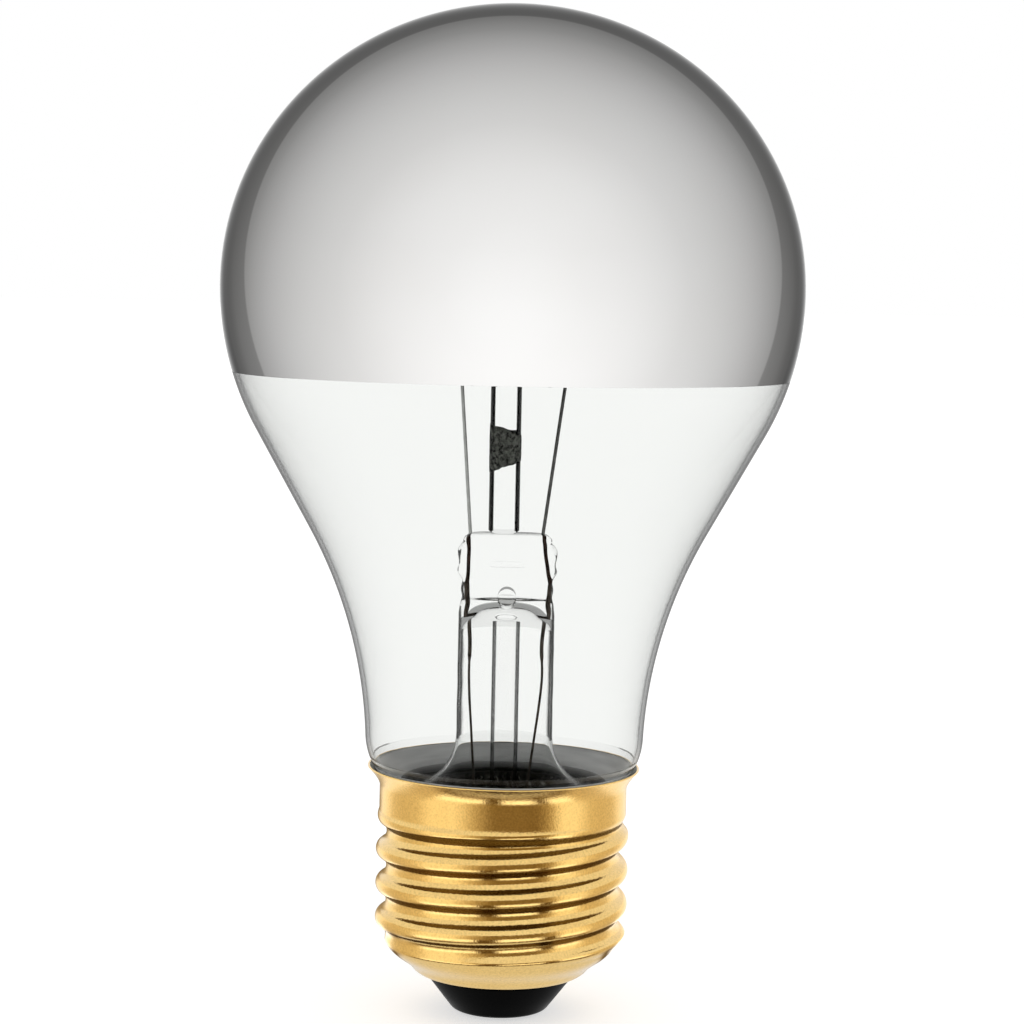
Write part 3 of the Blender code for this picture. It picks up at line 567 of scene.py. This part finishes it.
outside = crownSide(bulb["seat"]) + clearSide(0)
inside = crownSide(bulb["seat"] + bulb["wall"]) + clearSide(bulb["wall"])
envelope = turnedPiece("bulbGlass", outside + inside[::-1], envelopeGlass, bulb["steps"])
paintFaces(envelope, neckGlass, lambda face: face.center.z < (neckTurn - bulb["neckGlassDrop"]) * mm)
paintFaces(envelope, sealedNeckMaterial(neckEnd, sealTop), lambda face: face.center.z < sealTop * mm)
finishPiece(envelope, "glass_envelope")

crown = turnedPiece("mirrorCrown", crownSide(0) + crownSide(bulb["crownThickness"])[::-1],
                    crownMaterial(bulbEquator, bulb["radius"]), bulb["steps"])
lineInside(crown, crownInside, bulbEquator)
finishPiece(crown, "silver_crown")


# Screw shell: a drawn blank whose thread is rolled in by nodes

shell = {
    "wall": 0.3, "shoulderRadius": 9.0, "footRadius": 7.9, "crimpHeight": 0.25, "taperHeight": 2.95,
    "rootRadius": 12.1, "threadDepth": 1.1, "pitch": 3.63, "threadLength": 14.0, "crestRise": 0.7,
    "runIn": 1.2, "runOut": 2.0, "collarRadius": 12.9, "collarHeight": 2.6, "lipHeight": 2.1, "lipRadius": 14.17,
    "lipCurve": 1.5, "footBend": 0.25, "taperWave": 0.06, "threadRows": 160, "steps": 192, "paintedLightDrop": 0.06,
    "paintedShadeRise": 0.4,
}
threadBottom = shellBottom + shell["crimpHeight"] + shell["taperHeight"]
collarBottom = threadBottom + shell["threadLength"]
collarTop = collarBottom + shell["collarHeight"]


def rollThreadTree(sizes):
    # pushes the blank's wall out to the crests of a right-handed thread with equal round crests and roots
    tree, inputs = newGeometryTree("rollThread", sizes)
    place = addNode(tree, "GeometryNodeInputPosition").outputs[0]
    plus, minus, times, over = sumsIn(tree)
    x, y, z = coordinates(tree, place)
    pitch, depth = inputs["Pitch"], inputs["Depth"]
    angle = calc(tree, "ARCTAN2", y, x)
    rise = minus(minus(z, inputs["Start"]), inputs["Crest rise"])
    turns = minus(over(rise, pitch), over(angle, fullTurn))
    fromCrest = times(calc(tree, "PINGPONG", turns, 0.5), pitch)
    fromRoot = minus(times(pitch, 0.5), fromCrest)
    quarter = times(pitch, 0.25)
    bend = plus(over(times(pitch, pitch), times(depth, 16.0)), times(depth, 0.25))

    def sag(distance):
        # how far the round wall falls away at this distance from its crest or root
        near = calc(tree, "MINIMUM", distance, quarter)
        return minus(bend, calc(tree, "SQRT", minus(times(bend, bend), times(near, near))))

    def faded(distance, run):
        return calc(tree, "MINIMUM", calc(tree, "MAXIMUM", over(distance, run), 0.0), 1.0)

    onCrest = calc(tree, "LESS_THAN", fromCrest, quarter)
    rootHeight = sag(fromRoot)
    height = plus(rootHeight, times(onCrest, minus(minus(depth, sag(fromCrest)), rootHeight)))
    fade = times(faded(minus(z, inputs["Start"]), inputs["Run in"]), faded(minus(inputs["End"], z), inputs["Run out"]))
    push = times(height, fade)
    outward = addNode(tree, "ShaderNodeCombineXYZ", {
        "X": times(calc(tree, "COSINE", angle), push), "Y": times(calc(tree, "SINE", angle), push)}).outputs[0]
    rolled = addNode(tree, "GeometryNodeSetPosition", {"Geometry": inputs["Geometry"], "Offset": outward})
    endTree(tree, rolled.outputs[0], shellBrass)
    return tree


def shellBlank():
    # outer line of the unrolled shell, from the crimped foot to the lip, and its rolled edge
    shoulderRadius, rootRadius, collarRadius = shell["shoulderRadius"], shell["rootRadius"], shell["collarRadius"]
    lipRadius, edge, bend = shell["lipRadius"], shell["wall"] / 2, shell["footBend"]
    shoulder = shellBottom + shell["crimpHeight"]
    line = [(shell["footRadius"], shellBottom)]
    line += arcPoints((shoulderRadius - bend, shoulder + bend), (bend, bend), -75, -35, 4)
    for i in range(1, 12):
        t = i / 12
        rise = t - shell["taperWave"] * math.sin(fullTurn * t)
        line.append((shoulderRadius + (rootRadius - shoulderRadius) * rise, shoulder + shell["taperHeight"] * t))
    rows = shell["threadRows"]
    for row in range(rows + 1):
        height = threadBottom + shell["threadLength"] * row / rows
        share = min((collarBottom - height) / shell["runOut"], 1.0)
        line.append((collarRadius + (rootRadius - collarRadius) * share * share * (3 - 2 * share), height))
    line += [(collarRadius, collarBottom + shell["collarHeight"] * i / 5) for i in range(1, 5)]
    for i in range(13):
        t = i / 12
        line.append((collarRadius + (lipRadius - collarRadius) * t ** shell["lipCurve"],
                     collarTop + (shell["lipHeight"] - edge) * t))
    rolledEdge = arcPoints((lipRadius - edge, lipTop - edge), (edge, edge), 0, 180, 8)[1:-1]
    return line, rolledEdge


def buildShell():
    line, rolledEdge = shellBlank()
    # the foot's first three points are its crimp, whose wall is above them
    inner = [(radius - shell["wall"], height + (shell["wall"] if i < 3 else 0))
             for i, (radius, height) in enumerate(line)]
    piece = turnedPiece("brassShell", line + rolledEdge + inner[::-1], shellBrass, shell["steps"], closed=True)
    sizes = {"Pitch": shell["pitch"] * mm, "Depth": shell["threadDepth"] * mm, "Start": threadBottom * mm,
             "End": collarBottom * mm, "Crest rise": shell["crestRise"] * mm, "Run in": shell["runIn"] * mm,
             "Run out": shell["runOut"] * mm}
    runTree(piece, rollThreadTree(sizes), sizes)
    # painted light: the lip's inside is pale grey instead of brass
    lineInside(piece, lipInsidePaintedLight, below=lipTop - shell["paintedLightDrop"])
    # painted shade: the shell's inside below this height is near-black instead of brass
    lineInside(piece, shellInsidePaintedShade, below=collarTop + shell["paintedShadeRise"])
    finishPiece(piece, "screw_shell")


buildShell()


# Insulator, contact and solder

insulator = {"hole": 2.25, "seat": 3.7, "seatTop": 1.02, "tip": 4.9, "cone": 7.85, "waist": 7.3, "foot": 8.4,
             "coneGap": 0.05, "waistGap": 0.03, "waistTop": 0.6, "footRise": 0.85, "cornerRadius": 0.8}
insulatorBottom, insulatorTop = heightsOf("insulator")
cone = roundedOutline([
    (insulator["hole"], insulator["seatTop"]), (insulator["seat"], insulator["seatTop"]),
    (insulator["seat"], insulatorBottom), (insulator["tip"], insulatorBottom),
    (insulator["cone"], shellBottom - insulator["coneGap"]), (insulator["waist"], shellBottom - insulator["waistGap"]),
    (insulator["waist"], shellBottom + insulator["waistTop"]), (insulator["foot"], shellBottom + insulator["footRise"]),
    (insulator["foot"], insulatorTop), (insulator["hole"], insulatorTop)], insulator["cornerRadius"], 6)
finishPiece(turnedPiece("blackCone", cone, blackVitrite, 96, closed=True), "insulator")

contact = {"bore": 1.45, "barrel": 1.95, "flange": 3.4, "flangeHeight": 0.6, "cornerRadius": 0.18}
contactLow, contactHigh = heightsOf("centre_contact")
flangeTop = contactLow + contact["flangeHeight"]
eyelet = roundedOutline([
    (contact["bore"], contactHigh), (contact["bore"], contactLow), (contact["flange"], contactLow),
    (contact["flange"], flangeTop), (contact["barrel"], flangeTop), (contact["barrel"], contactHigh)],
    contact["cornerRadius"])
finishPiece(turnedPiece("contactEyelet", eyelet, tinnedMetal, 64, closed=True), "centre_contact")
plug = [(0, 0), (0.6, 0.01), (1.0, 0.05), (1.3, 0.14), (1.42, 0.3), (1.42, 1.2), (1.15, 1.8), (0.6, 2.1),
        (0, heightsOf("contact_solder")[1])]
finishPiece(turnedPiece("contactSolder", plug, solderTin, 48), "contact_solder")

drop = {"radius": 0.98, "rise": 0.69, "rows": 12, "steps": 48}
dropLow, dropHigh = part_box("side_solder")
sideHoleZ = (dropLow.z + dropHigh.z) / 2 / mm


def buildSideSolder():
    # a flattened bead with an uneven edge where the second wire comes out
    rings = []
    for row in range(drop["rows"]):
        angle = math.pi / 2 * row / drop["rows"]
        ring = []
        for i in range(drop["steps"]):
            around = fullTurn * i / drop["steps"]
            wobble = 1 + 0.06 * math.sin(3 * around + 1) + 0.04 * math.sin(5 * around)
            radius = drop["radius"] * math.cos(angle) * wobble
            ring.append((radius * math.cos(around), dropLow.y / mm + drop["rise"] * math.sin(angle),
                         sideHoleZ + radius * math.sin(around)))
        rings.append(ring)
    return loftedPiece("sideSolder", rings, solderTin)


finishPiece(buildSideSolder(), "side_solder")

# the cement's top line: radius, rise above the collar and roughness
cement = {"inner": 11.52, "outer": 12.28, "footRise": 0.3, "lumps": 1.3, "steps": 120,
          "top": [(12.3, 0.2, 0), (12.1, 0.45, 0.1), (11.8, 0.5, 0.12), (11.52, 0.3, 0.08)]}


def buildCement():
    # the dark ring of set cement, rough where it was pressed up round the neck
    foot = collarBottom + cement["footRise"]
    line = [(cement["inner"], foot, 0), (cement["outer"], foot, 0)]
    line += [(radius, collarTop + rise, rough) for radius, rise, rough in cement["top"]]
    rows = []
    for radius, height, rough in line:
        ring = []
        for i in range(cement["steps"]):
            angle = fullTurn * i / cement["steps"]
            x, y = radius * math.cos(angle), radius * math.sin(angle)
            ring.append((x, y, height + rough * noise.noise(Vector((x, y, 0)) * cement["lumps"])))
        rows.append(ring)
    return loftedPiece("cementRing", rows, baseCement, closed=True)


finishPiece(buildCement(), "basing_cement")


# Stem: flare, tube and press in one piece of glass

stem = {
    "wall": 0.26, "rimRise": 0.6, "tubeRadius": 5.0, "rimRadius": 10.2, "flareHeight": 5.5, "pressHeight": 8.2,
    "pressDepth": 2.4, "pressCorner": 0.4, "foldHeight": 1.7, "foldLength": 2.0, "boreDome": 3.1, "boreRise": 0.6,
    "holeRadius": 0.95, "holeRise": 1.7, "holeFront": -5.4, "holeBack": 0.4, "holeDrop": 1.0, "boreShare": 0.98,
    "sliver": 0.002, "squareness": 3.4, "waist": 0.1, "waistWidth": 2.6, "ridge": 0.12, "ridgeRise": 5.1,
    "ridgeHeight": 0.15, "ridgeWidth": 2.0, "sideWobble": 0.25, "wallWobble": 0.05, "flareGlassDrop": 0.4,
    "foldSlope": 0.25, "steps": 120,
    "sideLine": [(8.2, 4.35), (7.4, 4.6), (6.4, 5.1), (5.3, 5.0), (4.4, 5.1), (2.85, 4.75), (1.5, 4.65), (-1.0, 4.8)],
}
flareLow, pressTop = heightsOf("stem_flare")
flareRim = flareLow + stem["rimRise"]
tubeStart = flareRim + stem["flareHeight"]
pressBottom = pressTop - stem["pressHeight"]


def stemSection(halfWidth, halfDepth, height, squareness=2.0, waist=0.0, sides=0.0):
    # a level ring, with the unevenness of glass worked by hand, more of it at the sides of the press
    ring = []
    ridge = stem["ridge"] * math.exp(-((height - pressBottom - stem["ridgeRise"]) / stem["ridgeHeight"]) ** 2)
    for i in range(stem["steps"]):
        angle = fullTurn * i / stem["steps"]
        c, s = math.cos(angle), math.sin(angle)
        x = math.copysign(abs(c) ** (2 / squareness), c) * halfWidth
        y = math.copysign(abs(s) ** (2 / squareness), s) * halfDepth
        y *= (1 - waist * math.exp(-(x / stem["waistWidth"]) ** 2)
              + ridge * math.exp(-(x / stem["ridgeWidth"]) ** 6))
        place = Vector((x, y, height))
        push = stem["wallWobble"] * noise.noise(place * 0.45)
        push += sides * abs(c) ** 4 * noise.noise(Vector((math.copysign(4, c), y * 0.5, height * 0.8)))
        ring.append((x * (1 + push / halfWidth), y * (1 + push / halfDepth), height))
    return ring


def pressHalfWidth(height):
    # follows the press's uneven side line
    rise = height - pressBottom
    line = stem["sideLine"]
    for (upper, upperWidth), (lower, lowerWidth) in zip(line, line[1:]):
        if rise >= lower:
            t = min(1.0, (rise - lower) / (upper - lower))
            return lowerWidth + (upperWidth - lowerWidth) * t * t * (3 - 2 * t)
    return line[-1][1]


def buildStem():
    deep, corner, wall = stem["pressDepth"], stem["pressCorner"], stem["wall"]
    square, waist, wobble = stem["squareness"], stem["waist"], stem["sideWobble"]
    tube, rim, flare = stem["tubeRadius"], stem["rimRadius"], stem["flareHeight"]
    fold = pressBottom + stem["foldHeight"]
    wide = pressHalfWidth(pressTop)
    rings = []
    for degrees in (90, 70, 50, 30, 10):
        angle = math.radians(degrees)
        inset = corner * (1 - math.cos(angle))
        rings.append(stemSection(wide - 2 * inset, deep - inset, pressTop - corner + corner * math.sin(angle),
                                 square, waist, wobble / 2))
    rows = 40
    for row in range(rows + 1):
        height = pressTop - corner - (pressTop - corner - fold) * row / rows
        wide = pressHalfWidth(height)
        rings.append(stemSection(wide, deep, height, square, waist, wobble))
    for i in range(1, 13):
        t = i / 12
        ease = t * t * (3 - 2 * t)
        rings.append(stemSection(wide + (tube - wide) * ease, deep + (tube - deep) * ease,
                                 fold - stem["foldLength"] * t, square - (square - 2.0) * ease,
                                 waist * (1 - ease), wobble * (1 - ease)))
    tubeTop = fold - stem["foldLength"]
    rows = 30
    rings += [stemSection(tube, tube, tubeTop + (tubeStart - tubeTop) * row / rows) for row in range(1, rows)]
    outer = arcPoints((rim, tubeStart), (tube - rim, -flare), 0, 90, 22)
    inner = arcPoints((rim, tubeStart), (tube - rim - wall, -flare - wall), 90, 0, 22)
    domeBase = pressBottom + stem["boreRise"] - stem["boreDome"]
    bore = [(tube - wall, tubeStart + (domeBase - tubeStart) * i / 16) for i in range(1, 16)]
    dome = [((tube - wall) * math.cos(math.radians(a)) ** 0.8,
             domeBase + stem["boreDome"] * math.sin(math.radians(a)) ** 0.9) for a in range(0, 90, 6)]
    rings += [stemSection(radius, radius, height) for radius, height in outer + inner + bore + dome]
    return loftedPiece("glassStem", rings, stemGlass)


def drillHole(piece, start, end, radius):
    bm = bmesh.new()
    along = Vector(end) - Vector(start)
    bmesh.ops.create_cone(bm, cap_ends=True, segments=40, radius1=radius * mm, radius2=radius * mm,
                          depth=along.length * mm)
    turn = along.to_track_quat("Z", "Y").to_matrix().to_4x4()
    bm.transform(Matrix.Translation((Vector(start) + Vector(end)) / 2 * mm) @ turn)
    mesh = bpy.data.meshes.new("holeCutter")
    bm.to_mesh(mesh)
    bm.free()
    cutter = newObject("holeCutter", mesh)
    cut = piece.modifiers.new("hole", "BOOLEAN")
    cut.operation, cut.object, cut.solver = "DIFFERENCE", cutter, "EXACT"
    keepResult(piece)
    bpy.data.objects.remove(cutter)
    # welds the slivers that the cut leaves along its edge
    bm = bmesh.new()
    bm.from_mesh(piece.data)
    bmesh.ops.remove_doubles(bm, verts=bm.verts, dist=stem["sliver"] * mm)
    bmesh.ops.dissolve_degenerate(bm, edges=bm.edges, dist=stem["sliver"] * mm)
    bm.to_mesh(piece.data)
    bm.free()
    piece.data.set_sharp_from_angle(angle=wideSharpEdge)


glassStem = buildStem()
holeHeight = pressBottom + stem["holeRise"]
drillHole(glassStem, (0, stem["holeFront"], holeHeight), (0, stem["holeBack"], holeHeight), stem["holeRadius"])
drillHole(glassStem, (0, 0, pressBottom - stem["holeDrop"]), (0, 0, holeHeight),
          stem["holeRadius"] * stem["boreShare"])
flareTop = (tubeStart - stem["flareGlassDrop"]) * mm
paintFaces(glassStem, flareGlass, lambda face: face.center.z < flareTop)
paintFaces(glassStem, foldGlass, lambda face: face.center.z >= flareTop and abs(face.normal.z) > stem["foldSlope"])
finishPiece(glassStem, "stem_flare")

tubeBottom, tubeTop = heightsOf("exhaust_tube")
exhaust = {"radius": 1.42, "wall": 0.22, "tipHeight": 3.0}
tubeRadius, tip = exhaust["radius"], exhaust["tipHeight"]
shank = tubeTop - tubeBottom - tip
boreRadius = tubeRadius - exhaust["wall"]
tubeLine = [(0, tubeBottom)] + arcPoints((0, tubeBottom + tip), (tubeRadius, tip), -80, 0, 10)
tubeLine += [(tubeRadius, tubeTop - shank * (1 - i / 8)) for i in range(1, 9)]
tubeLine += [(boreRadius, tubeTop - shank * i / 8) for i in range(9)]
tubeLine += arcPoints((0, tubeBottom + tip), (boreRadius, tip / 2), -8, -80, 8) + [(0, tubeBottom + tip / 2)]
finishPiece(turnedPiece("exhaustTube", tubeLine, tubeGlass, 48), "exhaust_tube")


# Rod, button and getter

rod = {"radius": 1.6, "buttonRadius": 2.6, "buttonHeight": 2.6, "footGap": 0.05, "footShare": 0.8, "footRise": 0.3,
       "shaft": 15.8, "footGlass": 0.2}
rodLow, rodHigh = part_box("arbor_rod")
rodX = (rodLow.x + rodHigh.x) / 2 / mm
rodTop = rodHigh.z / mm
buttonZ = rodTop - rod["buttonHeight"] / 2
neckDegrees = -math.degrees(math.acos(rod["radius"] / rod["buttonRadius"]))
rodFoot = pressTop + rod["footGap"]
rodLine = [(0, rodFoot), (rod["radius"] * rod["footShare"], rodFoot)]
rodLine += [(rod["radius"], rodFoot + rod["footRise"] + rod["shaft"] * i / 10) for i in range(11)]
rodLine += arcPoints((0, buttonZ), (rod["buttonRadius"], rod["buttonHeight"] / 2), neckDegrees, 88, 20)
rodLine += [(0, rodTop)]
glassRod = turnedPiece("glassRod", rodLine, rodGlass, 64)
paintFaces(glassRod, foldGlass, lambda face: face.center.z < (rodFoot + rod["footGlass"]) * mm)
glassRod.data.transform(Matrix.Translation((rodX * mm, 0, 0)))
finishPiece(glassRod, "arbor_rod")


getter = {"slant": 0.6, "rag": 0.2, "lift": 0.02, "thickness": 0.05, "rows": 24, "steps": 72}


def buildGetter():
    # a thin baked coat round the rod, with slanting uneven ends
    low, high = heightsOf("getter_band")
    foot, head = low + getter["slant"], high - getter["slant"]
    inner = rod["radius"] + getter["lift"]
    rows = getter["rows"]
    rings = []
    for side in (1, -1):
        for row in range(rows + 1):
            t = row / rows if side == 1 else 1 - row / rows
            ring = []
            for i in range(getter["steps"]):
                angle = fullTurn * i / getter["steps"]
                c, s = math.cos(angle), math.sin(angle)
                slant = getter["slant"] * c
                rag = getter["rag"] * noise.noise(Vector((c * 3, s * 3, 7 if t > 0.5 else 2)))
                radius = inner
                if side == 1:
                    swell = 0.6 + 0.4 * noise.noise(Vector((c * 5, s * 5, t * 9)))
                    radius += 0.01 + getter["thickness"] * swell * min(1, 6 * t, 6 * (1 - t))
                start, end = foot + slant + rag, head - slant + rag
                ring.append((rodX + radius * c, radius * s, start + (end - start) * t))
            rings.append(ring)
    return loftedPiece("getterCoat", rings, getterGrey, closed=True)


finishPiece(buildGetter(), "getter_band")


# Wires: a tree sweeps a round wire along each path

wireSides = 12


def sweepWireTree(name, material, sizes):
    tree, inputs = newGeometryTree(name, sizes)
    path = addNode(tree, "GeometryNodeMeshToCurve", {"Mesh": inputs["Geometry"]}).outputs[0]
    along = addNode(tree, "GeometryNodeSplineParameter").outputs["Length"]
    inStub = calc(tree, "LESS_THAN", along, inputs["Stub length"])
    swell = calc(tree, "MULTIPLY", inStub, calc(tree, "SUBTRACT", inputs["Stub radius"], inputs["Radius"]))
    circle = addNode(tree, "GeometryNodeCurvePrimitiveCircle", {
        "Resolution": inputs["Sides"], "Radius": 1.0}).outputs[0]
    swept = addNode(tree, "GeometryNodeCurveToMesh", {
        "Curve": path, "Profile Curve": circle, "Scale": calc(tree, "ADD", inputs["Radius"], swell),
        "Fill Caps": True})
    endTree(tree, swept.outputs[0], material)
    return tree


def buildWire(name, points, radius, material, stub=(0.0, 0.0)):
    # the stub is the radius and length of a thicker start
    path = smoothPath(points)
    mesh = bpy.data.meshes.new(name)
    mesh.from_pydata([tuple(p * mm) for p in path], [(i, i + 1) for i in range(len(path) - 1)], [])
    piece = newObject(name, mesh)
    sizes = {"Radius": radius * mm, "Stub radius": stub[0] * mm, "Stub length": stub[1] * mm, "Sides": wireSides}
    runTree(piece, sweepWireTree(name + "Sweep", material, sizes), sizes)
    piece.data.set_sharp_from_angle(angle=wideSharpEdge)
    return piece


leads = {
    "radius": 0.18, "sealRadius": 0.18, "lowerRadius": 0.13, "stub": (0.2, 8.0), "sealLength": 5.0, "sealDrop": 0.2,
    "top": {"Left": 3.9, "Right": 3.6}, "foot": {"Left": 4.0, "Right": 4.3}, "spread": {"Left": 1.25, "Right": 2.2},
    "straight": 17.0, "sealGap": 0.02, "clampDrop": 0.5, "inBore": 3.75, "lowerLeft": 3.1, "lowerRight": 2.5,
    "domeDrop": 3.0, "tipRise": 2.7, "eyeletEntry": 4.0, "eyeletEnd": 2.3, "sideReach": (5.75, 10.2, 11.5, 12.9),
    "sideSag": 0.2,
}
filament = {"arcRadius": 9.0, "coilRadius": 0.36, "wireRadius": 0.07, "turns": 80}
filamentZ = (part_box("filament")[0].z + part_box("filament")[1].z) / 2 / mm
filamentR = filament["arcRadius"]
wireSealTop = pressTop - leads["sealDrop"]
sealBottom = wireSealTop - leads["sealLength"]
# the right upper lead gets the darker copy of the nickel, painted shade
for side, name, finish in ((-1, "Left", nickelWire), (1, "Right", shadedNickelWire)):
    x, footX, spread = leads["top"][name], leads["foot"][name], leads["spread"][name]
    sealMiddle = (side * (x + footX) / 2, 0, wireSealTop - leads["sealLength"] / 2)
    seal = buildWire("seal" + name, [(side * footX, 0, sealBottom), sealMiddle, (side * x, 0, wireSealTop)],
                     leads["sealRadius"], dumetWire)
    finishPiece(seal, "dumet_seal_" + name.lower())
    start, end = wireSealTop + leads["sealGap"], filamentZ - leads["clampDrop"]
    points = [(side * (x + spread * t), 0, start + leads["straight"] * t) for t in (0, 0.3, 0.6, 0.9, 1)]
    points += [(side * (x + spread + filamentR) / 2, 0, (start + leads["straight"] + end) / 2),
               (side * filamentR, 0, end)]
    finishPiece(buildWire("upperLead" + name, points, leads["radius"], finish),
                "upper_lead_" + name.lower())

domeFoot = pressBottom - leads["domeDrop"]
boreMiddle = (tubeStart + domeFoot) / 2
inBore, lowerLeft, lowerRight = leads["inBore"], leads["lowerLeft"], leads["lowerRight"]
contactLead = [(-leads["foot"]["Left"], 0, sealBottom), (-inBore, 0, domeFoot), (-inBore, 0, boreMiddle),
               (-lowerLeft, 0, flareRim), (-lowerLeft, 0, tubeBottom),
               (-lowerLeft / 2, 0, (tubeBottom + leads["tipRise"]) / 2), (0, 0, leads["eyeletEntry"]),
               (0, 0, leads["eyeletEnd"])]
finishPiece(buildWire("contactLead", contactLead, leads["lowerRadius"], copperWire, leads["stub"]),
            "lower_lead_contact")
shellLead = [(leads["foot"]["Right"], 0, sealBottom), (inBore, 0, domeFoot), (inBore, 0, boreMiddle),
             (lowerRight, 0, flareRim), (lowerRight, tubeRadius, collarBottom),
             (lowerRight / 2, leads["sideReach"][0], sideHoleZ - leads["sideSag"])]
shellLead += [(0, reach, sideHoleZ) for reach in leads["sideReach"][1:]]
finishPiece(buildWire("shellLead", shellLead, leads["lowerRadius"], copperWire, leads["stub"]),
            "lower_lead_shell")


# Filament: a tree winds the coil round the front half circle

def windFilamentTree(sizes):
    tree, inputs = newGeometryTree("windFilament", sizes)
    plus, minus, times, over = sumsIn(tree)
    count = times(inputs["Turns"], 14.0)
    line = addNode(tree, "GeometryNodeCurvePrimitiveLine").outputs[0]
    fine = addNode(tree, "GeometryNodeResampleCurve", {"Curve": line, "Count": count}).outputs[0]
    t = addNode(tree, "GeometryNodeSplineParameter").outputs["Factor"]
    along = calc(tree, "MULTIPLY_ADD", t, math.pi, math.pi)
    around = times(times(t, inputs["Turns"]), fullTurn)
    radius = plus(inputs["Arc radius"], times(inputs["Coil radius"], calc(tree, "COSINE", around)))
    height = plus(inputs["Height"], times(inputs["Coil radius"], calc(tree, "SINE", around)))
    place = addNode(tree, "ShaderNodeCombineXYZ", {
        "X": times(radius, calc(tree, "COSINE", along)), "Y": times(radius, calc(tree, "SINE", along)),
        "Z": height}).outputs[0]
    wound = addNode(tree, "GeometryNodeSetPosition", {"Geometry": fine, "Position": place}).outputs[0]
    circle = addNode(tree, "GeometryNodeCurvePrimitiveCircle", {
        "Resolution": 6, "Radius": inputs["Wire radius"]}).outputs[0]
    swept = addNode(tree, "GeometryNodeCurveToMesh", {"Curve": wound, "Profile Curve": circle, "Fill Caps": True})
    endTree(tree, swept.outputs[0], tungstenWire)
    return tree


coil = newObject("filamentCoil", bpy.data.meshes.new("filamentCoil"))
coilSizes = {"Arc radius": filamentR * mm, "Coil radius": filament["coilRadius"] * mm,
             "Wire radius": filament["wireRadius"] * mm, "Turns": filament["turns"], "Height": filamentZ * mm}
runTree(coil, windFilamentTree(coilSizes), coilSizes)
finishPiece(coil, "filament")

supports = {"radius": 0.15, "coil": 0.45, "gap": 0.12, "hookDip": 0.15, "hookRise": 0.5, "archInset": 0.5,
            "archDrop": 0.25, "buttonInset": 0.3, "buttonReach": 0.4, "buttonRise": 0.3,
            "turns": {"left": 225, "front": 270, "right": 315}}
under = filamentZ - supports["coil"] - supports["gap"] - supports["radius"]
behind = filamentR + supports["coil"] + supports["gap"] + supports["radius"]
supportLine = [(rod["buttonRadius"] - supports["buttonInset"], buttonZ),
               (rod["buttonRadius"] + supports["buttonReach"], buttonZ + supports["buttonRise"])]
supportHook = [(filamentR - supports["archInset"], under - supports["archDrop"]), (filamentR, under),
               (behind, filamentZ - supports["hookDip"]), (behind, filamentZ + supports["hookRise"])]
for side, degrees in supports["turns"].items():
    c, s = math.cos(math.radians(degrees)), math.sin(math.radians(degrees))
    foot = [(rodX + r * c, r * s, z) for r, z in supportLine]
    wire = buildWire("support" + side.capitalize(), foot + [(r * c, r * s, z) for r, z in supportHook],
                     supports["radius"], molybdenumWire)
    finishPiece(wire, "support_wire_" + side)
